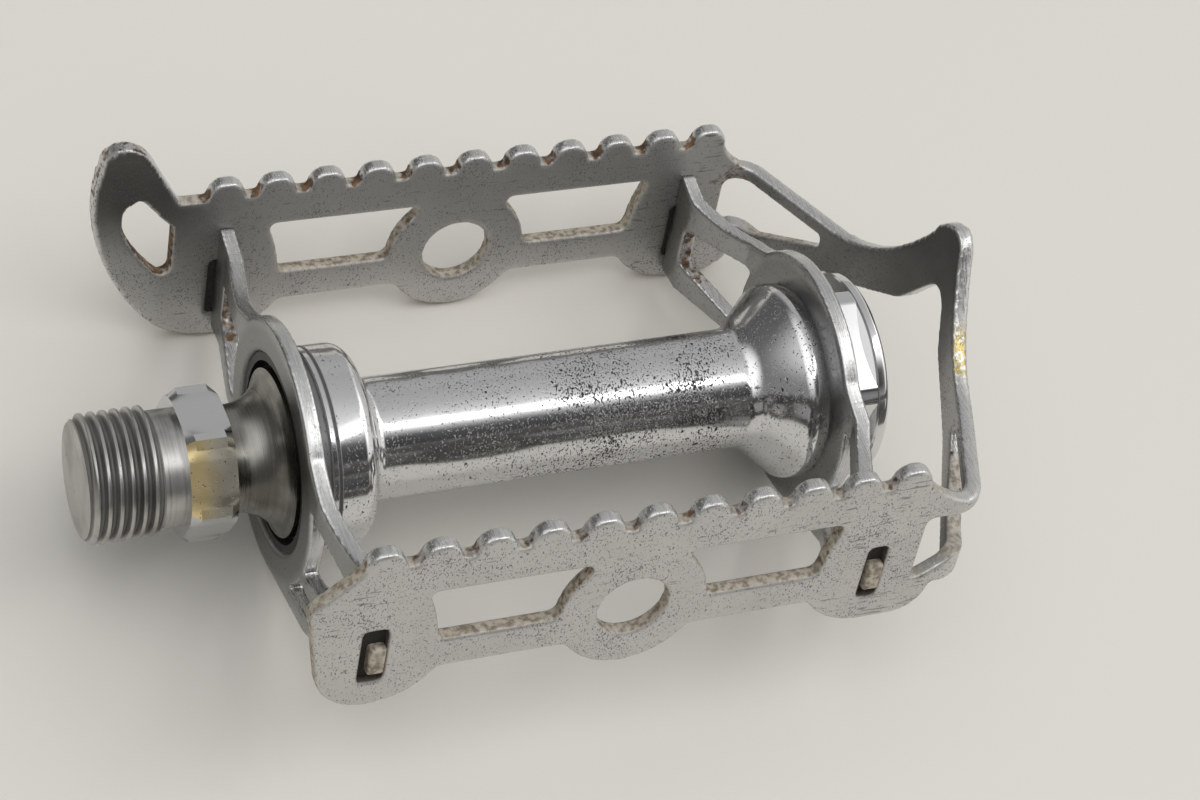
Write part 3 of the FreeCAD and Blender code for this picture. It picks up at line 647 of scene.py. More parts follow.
@dataclass(frozen=True)
class TurnedSteel(Finish):
    """Bare turned steel with circumferential lines and an oily film."""

    oil_colour: Colour = (0.045, 0.039, 0.031)
    # near-black colour of the painted shade in thread grooves
    groove_shade_colour: Colour = (0.014, 0.012, 0.009)
    oil: float = 0.5
    line_scale: float = 4200.0
    fleck_scale: float = 1500.0
    fleck_share: float = 0.25
    groove_shade_roughness: float = 0.6
    line_depth: float = 0.02

    def dress(self, graph: Graph, shader: bpy.types.Node) -> None:
        """Turning lines, oily patches, a few flecks, and painted shade in thread grooves by mask.

        Args:
            graph: The material's nodes.
            shader: Its Principled shader.
        """
        lines, patches = turning(graph, self.line_scale)
        light = graph.mix(lines, shaded(self.colour, 0.6), shaded(self.colour, 1.3))
        film = graph.math("MULTIPLY", graph.step(patches, 0.38, 0.68), self.oil)
        spots = flecks(graph, self.fleck_scale, self.fleck_share)
        # painted shade in thread grooves, from the mask
        groove_shade = graph.mask(Mask.SHADE_AND_GRIME)
        colour = graph.mix(graph.math("MAXIMUM", film, spots), light, self.oil_colour)
        graph.feed(shader.inputs["Base Color"], graph.mix(groove_shade, colour, self.groove_shade_colour))
        coated = graph.math("MAXIMUM", spots, groove_shade)
        rough = self.between(graph, lines, 0.75, 1.3)
        graph.feed(shader.inputs["Roughness"], graph.blend(coated, rough, self.groove_shade_roughness))
        graph.feed(shader.inputs["Metallic"], graph.math("MULTIPLY_ADD", groove_shade, -0.7, 1.0))
        self.bump(graph, shader, graph.math("SUBTRACT", lines, spots), self.line_depth)


@dataclass(frozen=True)
class ShadeBlockFinish(Finish):
    """Dark matt finish of the blocks that stand for painted shade."""

    crumb_scale: float = 2500.0
    crumb_depth: float = 0.2

    def dress(self, graph: Graph, shader: bpy.types.Node) -> None:
        """A matt crumbly surface.

        Args:
            graph: The material's nodes.
            shader: Its Principled shader.
        """
        shader.inputs["Metallic"].default_value = 0.0
        self.bump(graph, shader, graph.noise(graph.place(), self.crumb_scale, 4.0), self.crumb_depth)


BARREL_CHROME = PittedChrome("pitted_chrome", (0.70, 0.70, 0.705), 0.12)
CAP_CHROME = PittedChrome("cap_chrome", (0.66, 0.66, 0.65), 0.20, least=0.45, most=0.45)
CAGE_PLATE = WornPlate("worn_cage_plate", (0.61, 0.603, 0.596), 0.38)
CROSS_PLATE = WornPlate("worn_cross_plate", (0.54, 0.54, 0.54), 0.24, specks=0.8)
SPINDLE_STEEL = TurnedSteel("turned_spindle", (0.32, 0.312, 0.285), 0.27, oil=0.65)
THREAD_STEEL = TurnedSteel("thread_steel", (0.53, 0.522, 0.503), 0.33, oil=0.45)
COLLAR_CHROME = PittedChrome("collar_chrome", (0.66, 0.66, 0.655), 0.16, least=0.2, most=0.2)
COLLAR_FACET = PittedChrome("worn_collar_facet", (0.88, 0.71, 0.38), 0.30, least=0.75, most=0.75,
                            worn_colour=(0.72, 0.68, 0.57))
BEARING_STEEL = TurnedSteel("bearing_steel", (0.30, 0.30, 0.30), 0.22, oil=0.8)
BALL_STEEL = Finish("ball_steel", (0.72, 0.72, 0.73), 0.08)
# near-black blocks in the slots, standing in for shade
SLOT_SHADE = ShadeBlockFinish("slot_shade_block", (0.020, 0.017, 0.013), 0.8)


def add_piece(name: str, mesh: bpy.types.Mesh, finish: Finish, body: Body,
              replaced: Sequence[str] = ()) -> bpy.types.Object:
    """Put a finished mesh in the scene as a piece of the object.

    Args:
        name: Name of the piece.
        mesh: Its mesh, placed in the part's frame in metres.
        finish: What it is dressed in, unless the mesh has materials already.
        body: The body it moves with.
        replaced: Nodes that it stands for.

    Returns:
        The new object.
    """
    mesh.name = name
    if not mesh.materials:
        mesh.materials.append(finish.material())
    piece = bpy.data.objects.new(name, mesh)
    bpy.context.scene.collection.objects.link(piece)
    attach(piece, body.value)
    if replaced:
        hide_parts(*replaced)
    LOG.info("%s: %d faces on %s", name, len(mesh.polygons), body.value)
    return piece


def applied(source: bpy.types.Object) -> bpy.types.Mesh:
    """Plain mesh of an object with its modifiers, and remove the object."""
    bpy.context.view_layer.update()
    evaluated = source.evaluated_get(bpy.context.evaluated_depsgraph_get())
    mesh = bpy.data.meshes.new_from_object(evaluated)
    bpy.data.objects.remove(source)
    return mesh


def set_mask(mesh: bpy.types.Mesh, which: Mask, values: np.ndarray) -> None:
    """Store a point attribute for the finishes."""
    attribute = mesh.attributes.new(which.value, "FLOAT", "POINT")
    attribute.data.foreach_set("value", np.clip(values, 0, 1).astype(np.float32))


def points_of(mesh: bpy.types.Mesh) -> np.ndarray:
    """Vertex places as rows."""
    flat = np.empty(len(mesh.vertices) * 3, np.float32)
    mesh.vertices.foreach_get("co", flat)
    return flat.reshape(-1, 3).astype(float)


def normals_of(mesh: bpy.types.Mesh) -> np.ndarray:
    """Vertex normals as rows."""
    flat = np.empty(len(mesh.vertices) * 3, np.float32)
    mesh.vertex_normals.foreach_get("vector", flat)
    return flat.reshape(-1, 3).astype(float)


def relax(mesh: bpy.types.Mesh, rounds: int) -> None:
    """Smooth a dense mesh evenly: in each pass a point moves part of the way to its neighbours' middle.

    Args:
        mesh: The mesh to smooth.
        rounds: Number of passes.
    """
    places = points_of(mesh)
    ends = np.empty(len(mesh.edges) * 2, np.int32)
    mesh.edges.foreach_get("vertices", ends)
    first, second = ends[0::2], ends[1::2]
    count = np.bincount(ends, minlength=len(places)).astype(float)[:, None]
    for _ in range(rounds):
        total = np.zeros_like(places)
        np.add.at(total, first, places[second])
        np.add.at(total, second, places[first])
        places += RELAX_SHARE * (total / count - places)
    mesh.vertices.foreach_set("co", places.astype(np.float32).ravel())
    mesh.update()


def ease(values: np.ndarray, low: float, high: float) -> np.ndarray:
    """Smooth step of an array from 0 at low to 1 at high, either way round."""
    share = np.clip((values - low) / (high - low), 0, 1)
    return share * share * (3 - 2 * share)


def worn_copy(node: bpy.types.Object, voxel: float, rounds: int) -> bpy.types.Mesh:
    """Copy of a sheet node with its edges worn round, upright and in millimetres.

    Args:
        node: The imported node.
        voxel: Spacing of the new mesh.
        rounds: Smoothing passes.

    Returns:
        A dense closed mesh.
    """
    mesh = node.data.copy()
    mesh.materials.clear()
    mesh.transform(LAYOUT.lay_down().inverted())
    holder = bpy.data.objects.new("worn_copy", mesh)
    bpy.context.scene.collection.objects.link(holder)
    weld = holder.modifiers.new("weld", "WELD")
    weld.merge_threshold = WELD_GAP
    remesh = holder.modifiers.new("remesh", "REMESH")
    remesh.mode = "VOXEL"
    remesh.voxel_size = voxel
    remesh.use_smooth_shade = True
    made = applied(holder)
    relax(made, rounds)
    return made


def lathe(stations: Sequence[Point], segments: int, flats: Sequence[float] = (),
          turn: float = 0.0) -> bpy.types.Mesh:
    """Closed mesh turned about the spindle axis from a closed loop of x and radius.

    Args:
        stations: The loop in millimetres; a point on the axis has radius 0.
        segments: Facets round the axis.
        flats: Width across flats of a hexagon that limits each station, 0 for none.
        turn: Angle of one of the hexagon's corners from +Y towards +Z, in degrees.

    Returns:
        The mesh in metres, with soft shading and sharp edges kept.
    """
    angles = np.arange(segments) * (2 * math.pi / segments)
    toward = np.mod(angles - math.radians(turn), math.pi / 3) - math.pi / 6
    verts: list[tuple[float, float, float]] = []
    rings: list[list[int]] = []
    for index, (x, radius) in enumerate(stations):
        if radius <= 0:
            rings.append([len(verts)] * segments)
            verts.append((x * MM, 0.0, 0.0))
            continue
        width = flats[index] if flats else 0
        limit = np.full(segments, radius)
        if width:
            limit = np.minimum(limit, width / 2 / np.cos(toward))
        rings.append(list(range(len(verts), len(verts) + segments)))
        verts += [(x * MM, r * math.cos(a) * MM, r * math.sin(a) * MM) for r, a in zip(limit, angles)]
    faces = []
    pairs = list(zip(rings, rings[1:]))
    if stations[0][1] > 0:
        pairs.append((rings[-1], rings[0]))
    for near, far in pairs:
        for i in range(segments):
            j = (i + 1) % segments
            corner = [near[i], far[i], far[j], near[j]]
            face = [v for k, v in enumerate(corner) if v not in corner[:k]]
            if len(face) > 2:
                faces.append(face)
    mesh = bpy.data.meshes.new("lathe")
    mesh.from_pydata(verts, [], faces)
    mesh.validate()
    mesh.polygons.foreach_set("use_smooth", [True] * len(mesh.polygons))
    mesh.set_sharp_from_angle(angle=math.radians(SHARP_ANGLE))
    return mesh


def arc(centre: Point, radius: float, start: float, end: float, steps: int) -> list[Point]:
    """Points of an arc, angles in degrees from +x towards larger radius."""
    turns = [math.radians(start + (end - start) * i / steps) for i in range(steps + 1)]
    return [(centre[0] + radius * math.cos(a), centre[1] + radius * math.sin(a)) for a in turns]


def nodes_tree(name: str, inputs: dict[str, float]) -> tuple[bpy.types.NodeTree, Graph, dict]:
    """Start a geometry tree with number inputs and a material input.

    Args:
        name: Name of the tree.
        inputs: Number inputs and their defaults.

    Returns:
        The tree, its graph and its input sockets by name.
    """
    tree = bpy.data.node_groups.new(name, "GeometryNodeTree")
    for label, value in inputs.items():
        socket = tree.interface.new_socket(label, in_out="INPUT", socket_type="NodeSocketFloat")
        socket.default_value = value
    tree.interface.new_socket("Material", in_out="INPUT", socket_type="NodeSocketMaterial")
    tree.interface.new_socket("Geometry", in_out="OUTPUT", socket_type="NodeSocketGeometry")
    graph = Graph(tree)
    source = graph.add("NodeGroupInput")
    return tree, graph, {label: source.outputs[label] for label in (*inputs, "Material")}


def close_tree(graph: Graph, geometry: Socket, material: Socket) -> None:
    """End a geometry tree in real geometry with its material set."""
    real = graph.add("GeometryNodeRealizeInstances", {0: geometry}).outputs[0]
    smooth = graph.add("GeometryNodeSetShadeSmooth", {0: real}).outputs[0]
    dressed = graph.add("GeometryNodeSetMaterial", {"Geometry": smooth, "Material": material}).outputs[0]
    graph.add("NodeGroupOutput", {"Geometry": dressed})


def grown(tree: bpy.types.NodeTree, values: dict[str, object]) -> bpy.types.Mesh:
    """Plain mesh that a geometry tree gives.

    Args:
        tree: The geometry tree.
        values: Values of its inputs by name.

    Returns:
        The mesh.
    """
    holder = bpy.data.objects.new("grown", bpy.data.meshes.new("grown"))
    bpy.context.scene.collection.objects.link(holder)
    modifier = holder.modifiers.new("tree", "NODES")
    modifier.node_group = tree
    for item in tree.interface.items_tree:
        if item.item_type == "SOCKET" and item.in_out == "INPUT" and item.name in values:
            modifier[item.identifier] = values[item.name]
    return applied(holder)


@dataclass
class Cage:
    """Folded sheet cage: near plate, outer end with its horn, far plate with its ear."""

    voxel: float = 0.3
    rounds: int = 3
    corner_out: tuple[float, float] = (10.8, 8.3)
    horn_out: float = 20.8
    near_bow: float = 0.8
    ear_bend_x: float = 7.2
    ear_angle: float = 17.0
    ear_reach: float = 14.0
    tooth_pitch: float = 5.97
    tooth_start: float = -0.2
    tooth_root: float = 12.05
    tooth_top: float = 14.25
    window_sill: float = 0.25
    window_top: float = 7.6
    slot_middle: float = -0.8
    slot_soft_x: Point = (2.6, 1.4)
    slot_soft_z: Point = (5.0, 4.0)
    # painted shade on the slot walls
    slot_wall_shade: float = 0.9
    edge_facing: Point = (0.85, 0.55)
    side_raw: float = 0.9
    end_raw: float = 0.7
    notch_phase: float = 0.60
    notch_rust: float = 0.55
    far_notch_rust: float = 0.15
    notch_face_share: float = 0.35
    window_rust: float = 0.45
    ear_hole_at: Point = (1.6, 6.5)
    ear_hole_slim: float = 0.75
    ear_hole_rust: float = 0.7
    ear_rim_rust: float = 0.5
    fold_at: Point = (2.5, 7.0)
    fold_rust: float = 0.5
    # how much painted shade, with duller plating, the inside faces get
    near_dull_and_shade: float = 0.8
    far_less_dull_and_shade: float = 0.5
    lobe_less_dull_and_shade: float = 0.25
    ear_dull_and_shade: float = 0.7
    horn_dull_and_shade: float = 0.9
    horn_leg_less_dull_and_shade: float = 0.7
    horn_web_less_dull_and_shade: float = 0.3
    stain_y: float = -9.8
    stain_soft_y: Point = (3.2, 1.4)

    def plan(self) -> list[Point]:
        """Corners of the sheet's middle line seen from above.

        Returns:
            The corners, from the crank end of the near plate round to the tip of the ear.
        """
        out, half = LAYOUT.outer_slot_x, LAYOUT.cage_half
        bend = LAYOUT.slot_x - self.ear_bend_x
        ear = math.radians(self.ear_angle)
        tip = (bend - self.ear_reach * math.cos(ear), half + self.ear_reach * math.sin(ear))
        bow = (out + (self.corner_out[0] + self.horn_out) / 2 + self.near_bow, -half / 2)
        return [(0.0, -half), (out + self.corner_out[0], -half), bow, (out + self.horn_out, 0.0),
                (out + self.corner_out[1], half), (bend, half), tip]

    def cut_mask(self, places: np.ndarray, normals: np.ndarray) -> np.ndarray:
        """Where the surface is a sheared edge: its normal lies along the sheet, not across it.

        Args:
            places: Points of the upright cage.
            normals: Their normals.

        Returns:
            Mask from 0 to 1.
        """
        best = np.full(len(places), np.inf)
        across = np.zeros(len(places))
        corners = self.plan()
        for a, b in zip(corners, corners[1:]):
            way = np.subtract(b, a) / math.dist(a, b)
            along = np.clip((places[:, :2] - a) @ way, 0, math.dist(a, b))
            gap = np.linalg.norm(places[:, :2] - (np.asarray(a) + along[:, None] * way), axis=1)
            facing = np.abs(normals[:, 0] * -way[1] + normals[:, 1] * way[0])
            nearer = gap < best
            best[nearer] = gap[nearer]
            across[nearer] = facing[nearer]
        return ease(across, *self.edge_facing)

    def slot_mask(self, places: np.ndarray) -> np.ndarray:
        """Where the walls of the four slots are.

        Args:
            places: Points of the upright cage.

        Returns:
            Mask from 0 to 1.
        """
        x, _, z = places.T
        slots = np.zeros(len(x))
        for slot_x in (LAYOUT.slot_x, LAYOUT.outer_slot_x):
            inside = ease(np.abs(x - slot_x), *self.slot_soft_x)
            inside *= ease(np.abs(z - self.slot_middle), *self.slot_soft_z)
            slots = np.maximum(slots, inside)
        return slots

    def raw_mask(self, places: np.ndarray, cut: np.ndarray) -> np.ndarray:
        """Where sheared edges are bare and stained: windows, round holes, tooth notches and low end bars.

        Args:
            places: Points of the upright cage.
            cut: Mask of the sheared edges.

        Returns:
            Mask from 0 to 1.
        """
        x, y, z = places.T
        below = ease(z, self.tooth_root + 0.5, self.tooth_root - 0.2)
        side = ease(np.abs(y), LAYOUT.cage_half - 5, LAYOUT.cage_half - 3)
        within = ease(x, 0.0, 8.0) * ease(x, LAYOUT.outer_slot_x + 9, LAYOUT.outer_slot_x + 4)
        end = ease(x, LAYOUT.outer_slot_x + 8, LAYOUT.outer_slot_x + 10) * ease(z, 4.5, 2.5)
        return cut * np.maximum(self.side_raw * below * side * within, self.end_raw * end)

    def rust_mask(self, places: np.ndarray, cut: np.ndarray) -> np.ndarray:
        """Where rust sits: tooth notches, window ends, ear hole and the far fold.

        Args:
            places: Points of the upright cage.
            cut: Mask of the sheared edges.

        Returns:
            Mask from 0 to 1.
        """
        x, y, z = places.T
        first = LAYOUT.slot_x + self.tooth_start
        phase = np.mod((x - first) / self.tooth_pitch, 1.0)
        notch = ease(np.abs(phase - self.notch_phase), 0.24, 0.06)
        notch *= ease(z, self.tooth_root - 1.0, self.tooth_root - 0.1)
        notch *= ease(z, self.tooth_top - 0.2, self.tooth_root + 0.8)
        notch *= ease(np.abs(y), LAYOUT.cage_half - 4, LAYOUT.cage_half - 2)
        far = ease(y, 0, 10)
        notch *= self.notch_face_share + (1 - self.notch_face_share) * cut
        notch *= (self.notch_rust + self.far_notch_rust * far) * ease(x, first - 5.0, first - 3.5)
        mid = (self.window_sill + self.window_top) / 2
        tall = (self.window_top - self.window_sill) / 2
        band = ease(np.abs(z - mid), tall + 1.0, tall - 0.5)
        window = self.window_rust * cut * band
        bend = LAYOUT.slot_x - self.ear_bend_x
        inward, high = self.ear_hole_at
        off_hole = np.hypot((x - bend + inward) / self.ear_hole_slim, z - high)
        ear_hole = self.ear_hole_rust * far * cut * ease(off_hole, 8.5, 5.5)
        ear_rim = self.ear_rim_rust * far * cut * ease(x, bend, bend - 3)
        corner_x = LAYOUT.outer_slot_x + self.corner_out[1]
        inward, high = self.fold_at
        fold = self.fold_rust * far * ease(np.hypot(x - corner_x + inward, z - high), 5.5, 1.0)
        return np.maximum.reduce([notch, window, ear_hole, ear_rim, fold])

    def dull_and_shade_mask(self, places: np.ndarray, normals: np.ndarray) -> np.ndarray:
        """Where inside faces get painted shade and duller plating: most on the ear and the horn, least on the
        far lobes.

        Args:
            places: Points of the upright cage.
            normals: Their normals.

        Returns:
            Mask from 0 to 1.
        """
        x, y, z = places.T
        middle = np.stack([LAYOUT.eye_x - x, -y], axis=1)
        middle /= np.linalg.norm(middle, axis=1)[:, None]
        inside = ease((normals[:, :2] * middle).sum(axis=1), 0.05, 0.3)
        far = ease(y, -4, 8)
        ear = far * ease(x, 20, 4) * ease(z, 2, 12)
        lobes = far * ease(z, 2, -5)
        horn = ease(x, LAYOUT.outer_slot_x + 10, LAYOUT.outer_slot_x + 14)
        arch = self.horn_dull_and_shade - self.horn_leg_less_dull_and_shade * ease(y, -4, -13) - self.horn_web_less_dull_and_shade * ease(y, 4, 12)
        plates = self.near_dull_and_shade - self.far_less_dull_and_shade * far + self.ear_dull_and_shade * ear - self.lobe_less_dull_and_shade * lobes
        return inside * (arch * horn + np.clip(plates, 0, 1) * (1 - horn))

    def stain_mask(self, places: np.ndarray, cut: np.ndarray) -> np.ndarray:
        """Where the near edge of the horn is stained yellow.

        Args:
            places: Points of the upright cage.
            cut: Mask of the sheared edges.

        Returns:
            Mask from 0 to 1.
        """
        x, y, z = places.T
        end = ease(x, LAYOUT.outer_slot_x + 12, LAYOUT.outer_slot_x + 15) * ease(z, 7.5, 9.0)
        return cut * end * ease(np.abs(y - self.stain_y), *self.stain_soft_y)

    def dress(self, mesh: bpy.types.Mesh) -> None:
        """Store the masks of the finish.

        Args:
            mesh: The upright cage.
        """
        places, normals = points_of(mesh), normals_of(mesh)
        cut = self.cut_mask(places, normals)
        slots = cut * self.slot_mask(places)
        set_mask(mesh, Mask.CUT, cut)
        set_mask(mesh, Mask.RAW, self.raw_mask(places, cut))
        set_mask(mesh, Mask.RUST, self.rust_mask(places, cut) * (1 - slots))
        set_mask(mesh, Mask.STAIN, self.stain_mask(places, cut))
        # painted shade with duller plating on the inside faces
        set_mask(mesh, Mask.DULL_AND_SHADE, self.dull_and_shade_mask(places, normals) * (1 - cut))
        # painted shade on the slot walls
        set_mask(mesh, Mask.SHADE_AND_GRIME, self.slot_wall_shade * slots)

    def build(self, frame: dict) -> None:
        """Make the worn cage from its node and dress it.

        Args:
            frame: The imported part.
        """
        mesh = worn_copy(frame["nodes"]["cage"], self.voxel, self.rounds)
        self.dress(mesh)
        mesh.transform(LAYOUT.lay_down())
        add_piece("worn_cage", mesh, CAGE_PLATE, Body.PEDAL, ["cage"])


@dataclass
class CrossPlate:
    """Dished plate: a ring round the barrel and two pierced arms that end in the cage slots."""

    node: str
    voxel: float = 0.24
    rounds: int = 3
    tenon_shift: float = 0.28
    tenon_push: float = 0.6
    edge_facing: Point = (0.75, 0.45)
    tenon_raw: float = 0.9
    end_rust: float = 0.35
    window_rust: float = 0.6
    hub_rust: float = 0.4
    # painted shade with duller plating on the faces, more at the ends and round the ring
    face_dull_and_shade: float = 0.3
    end_dull_and_shade: float = 0.3
    # painted shade on the hole wall round the barrel
    hub_wall_shade: float = 0.5

    def seat_tenons(self, mesh: bpy.types.Mesh) -> None:
        """Push the worn tenons out almost flush with the cage and over to the outer wall of their slots.

        Args:
            mesh: The upright plate.
        """
        places = points_of(mesh)
        reach = np.abs(places[:, 1])
        inside = LAYOUT.cage_half - LAYOUT.sheet / 2
        tenon = ease(reach, inside + 0.1, inside + 0.7)
        places[:, 0] += self.tenon_shift * tenon
        places[:, 1] += np.sign(places[:, 1]) * self.tenon_push * tenon
        mesh.vertices.foreach_set("co", places.astype(np.float32).ravel())
        mesh.update()

    def dress(self, mesh: bpy.types.Mesh) -> None:
        """Store the masks of the finish.

        Args:
            mesh: The upright plate.
        """
        cut = ease(np.abs(normals_of(mesh)[:, 0]), *self.edge_facing)
        _, y, z = points_of(mesh).T
        reach = np.abs(y)
        ends = ease(reach, LAYOUT.cage_half - 9, LAYOUT.cage_half - 1.5)
        window = ease(np.abs(reach - LAYOUT.cage_half + 6), 3.5, 1.5) * ease(np.abs(z), 6.5, 4.0)
        hub = ease(np.hypot(y, z), 12.2, 11.2)
        collar = ease(np.hypot(y, z), 15.0, 13.5)
        tenon = ease(reach, LAYOUT.cage_half - 0.6, LAYOUT.cage_half)
        set_mask(mesh, Mask.CUT, cut)
        set_mask(mesh, Mask.RAW, self.tenon_raw * tenon)
        spots = [self.end_rust * ends, self.window_rust * window * cut, self.hub_rust * hub]
        rusty = np.maximum.reduce(spots)
        set_mask(mesh, Mask.RUST, rusty * (1 - tenon))
        # painted shade with duller plating
        film = self.face_dull_and_shade + self.end_dull_and_shade * np.maximum(ends, collar)
        set_mask(mesh, Mask.DULL_AND_SHADE, film * (1 - cut))
        # painted shade on the hole wall
        set_mask(mesh, Mask.SHADE_AND_GRIME, self.hub_wall_shade * hub * cut)

    def build(self, frame: dict) -> None:
        """Make the worn plate from its node and dress it.

        Args:
            frame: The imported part.
        """
        mesh = worn_copy(frame["nodes"][self.node], self.voxel, self.rounds)
        self.seat_tenons(mesh)
        self.dress(mesh)
        mesh.transform(LAYOUT.lay_down())
        add_piece("worn_" + self.node, mesh, CROSS_PLATE, Body.PEDAL, [self.node])


@dataclass
class SlotShadeBlocks:
    """Dark blocks that fill the four cage slots round the tenons, set back from both faces: painted shade
    where light would show through.
    """

    width: float = 3.0
    depth: float = 0.8
    height: float = 7.8
    shift_x: float = -0.25
    middle_z: float = -0.775
    set_back: float = 0.4

    def tree(self) -> bpy.types.NodeTree:
        """Make a geometry tree of one block in each slot.

        Returns:
            The tree.
        """
        sizes = {"Span": LAYOUT.slot_span, "Apart": 2 * (LAYOUT.cage_half - self.set_back),
                 "Width": self.width, "Depth": self.depth, "Height": self.height}
        tree, graph, given = nodes_tree("Slot Shade Blocks", sizes)
        spots = graph.add("GeometryNodeMeshGrid", {"Size X": given["Span"], "Size Y": given["Apart"],
                                                   "Vertices X": 2, "Vertices Y": 2}).outputs["Mesh"]
        size = graph.add("ShaderNodeCombineXYZ",
                         {"X": given["Width"], "Y": given["Depth"], "Z": given["Height"]})
        block = graph.add("GeometryNodeMeshCube", {"Size": size.outputs[0]}).outputs["Mesh"]
        blocks = graph.add("GeometryNodeInstanceOnPoints", {"Points": spots, "Instance": block}).outputs[0]
        close_tree(graph, blocks, given["Material"])
        return tree

    def build(self) -> None:
        """Grow the blocks, move them into the slots and add them."""
        mesh = grown(self.tree(), {"Material": SLOT_SHADE.material()})
        move = Matrix.Translation((LAYOUT.eye_x + self.shift_x, 0.0, self.middle_z))
        mesh.transform(LAYOUT.lay_down() @ move)
        mesh.polygons.foreach_set("use_smooth", [False] * len(mesh.polygons))
        add_piece("slot_shade_block", mesh, SLOT_SHADE, Body.PEDAL)


@dataclass
class Barrel:
    """Chromed barrel: flange with a groove, tube, and bell with a rounded rim."""

    start: float = 11.2
    mouth_r: float = 10.2
    seal_x: float = 14.0
    flange_r: float = 11.25
    groove_x: float = 13.05
    groove_len: float = 1.5
    groove_depth: float = 0.4
    stain_x: float = 15.4
    stain_half: Point = (0.3, 0.15)
    stain_share: float = 0.9
    flange_end: float = 20.175
    flange_round: float = 1.9
    tube_r: float = 6.9
    bore_r: float = 5.8
    bell_x: float = 65.25
    bell_bend_r: float = 3.0
    bell_r: float = 11.4
    bell_crown: float = 0.35
    rim_x: float = 70.75
    shoulder_x: float = 73.55
    spigot_r: float = 9.9
    spigot_end: float = 77.45
    cup_r: float = 8.8875
    inner_seat: float = 18.675
    outer_seat: float = 70.6625
    edge: float = 0.15
    segments: int = 192

    def profile(self) -> list[Point]:
        """Outline of the barrel.

        Returns:
            Closed loop of x and radius.
        """
        edge, step = self.edge, self.flange_round
        groove_end = self.groove_x + self.groove_len
        low = self.flange_r - self.groove_depth
        rim_r = self.bell_r - self.bell_crown
        bend = (self.bell_x, self.tube_r + self.bell_bend_r)
        run = (self.rim_x - bend[0], rim_r - bend[1])
        turn = math.degrees(math.atan2(run[1], run[0]) - math.acos(self.bell_bend_r / math.hypot(*run)))
        half = (self.shoulder_x - self.rim_x) / 2
        crown = (half ** 2 + self.bell_crown ** 2) / (2 * self.bell_crown)
        lean = math.degrees(math.asin(half / crown))
        top = (self.rim_x + half, self.bell_r - crown)
        loop = [(self.start, self.mouth_r), (self.start, self.flange_r - edge),
                (self.start + edge, self.flange_r), (self.groove_x, self.flange_r),
                (self.groove_x, low), (groove_end, low),
                (groove_end, self.flange_r - edge), (groove_end + edge, self.flange_r)]
        wide, narrow = self.stain_half
        loop += [(self.stain_x + shift, self.flange_r) for shift in (-wide, -narrow, narrow, wide)]
        loop += arc((self.flange_end - step, self.flange_r - step), step, 90, 0, 6)
        loop += arc((self.flange_end + step, self.tube_r + step), step, 180, 270, 6)
        loop += arc(bend, self.bell_bend_r, -90, turn, 10)
        loop += arc(top, crown, 90 + lean, 90 - lean, 10)
        loop += [(self.shoulder_x, self.spigot_r), (self.spigot_end, self.spigot_r),
                 (self.spigot_end, self.cup_r), (self.outer_seat, self.cup_r), (self.outer_seat, self.bore_r),
                 (self.inner_seat, self.bore_r), (self.inner_seat, self.cup_r), (self.seal_x, self.cup_r),
                 (self.seal_x, self.mouth_r)]
        return loop

    def build(self) -> None:
        """Turn the barrel and dress it, with grease and painted shade in its mouth, painted shade on its end
        face and a dark line round the flange.
        """
        mesh = lathe(self.profile(), self.segments)
        x, y, z = points_of(mesh).T / MM
        # painted shade, with grease, inside the mouth, and painted shade on the end face
        mouth = ease(np.hypot(y, z), self.flange_r - 0.2, self.flange_r - 0.5)
        inside = mouth * ease(x, self.inner_seat, self.seal_x)
        face = ease(x, self.start + 0.2, self.start + 0.1)
        stain = self.stain_share * ease(np.abs(x - self.stain_x), *self.stain_half)
        set_mask(mesh, Mask.SHADE_AND_GRIME, np.maximum.reduce([inside, face, stain]))
        add_piece("chrome_barrel", mesh, BARREL_CHROME, Body.PEDAL, ["barrel"])


@dataclass
class DustCap:
    """Screwed dust cap: hexagon flats, a round rim and a slightly domed end."""

    start: float = 75.45
    hex_end: float = 79.15
    turn: float = 30.0
    top: float = 81.6
    dome: float = 0.9
    radius: float = 12.0
    flats: float = 21.6
    edge: float = 0.6
    end_wall: float = 1.2
    cavity_r: float = 8.7
    thread_r: float = 9.92
    thread_end: float = 77.75
    bevel: float = 0.2
    segments: int = 360

    def build(self) -> None:
        """Turn the cap, mill its flats and dress it."""
        rim = self.top - self.dome
        edge_r = self.radius - self.edge
        sphere = (edge_r ** 2 + self.dome ** 2) / (2 * self.dome)
        lean = math.degrees(math.asin(edge_r / sphere))
        outside = [(self.start, self.radius - self.bevel), (self.start + self.bevel, self.radius),
                   (self.hex_end, self.radius)]
        flats = [self.flats - 2 * self.bevel, self.flats, self.flats]
        shell = [(self.hex_end, self.radius - self.bevel), (self.hex_end + self.bevel, self.radius)]
        shell += arc((rim - self.edge, edge_r), self.edge, 90, 0, 6)
        shell += arc((self.top - sphere, 0.0), sphere, lean, 0, 12)[1:-1] + [(self.top, 0.0)]
        hollow = [(self.top - self.end_wall, 0.0), (self.top - self.end_wall, self.cavity_r),
                  (self.thread_end, self.cavity_r), (self.thread_end, self.thread_r)]
        loop = [(self.start, self.thread_r)] + outside + shell + hollow
        widths = [0.0] + flats + [0.0] * (len(shell) + len(hollow))
        mesh = lathe(loop, self.segments, widths, self.turn - math.degrees(LAYOUT.tilt))
        add_piece("chrome_dust_cap", mesh, CAP_CHROME, Body.PEDAL, ["dust_cap"])


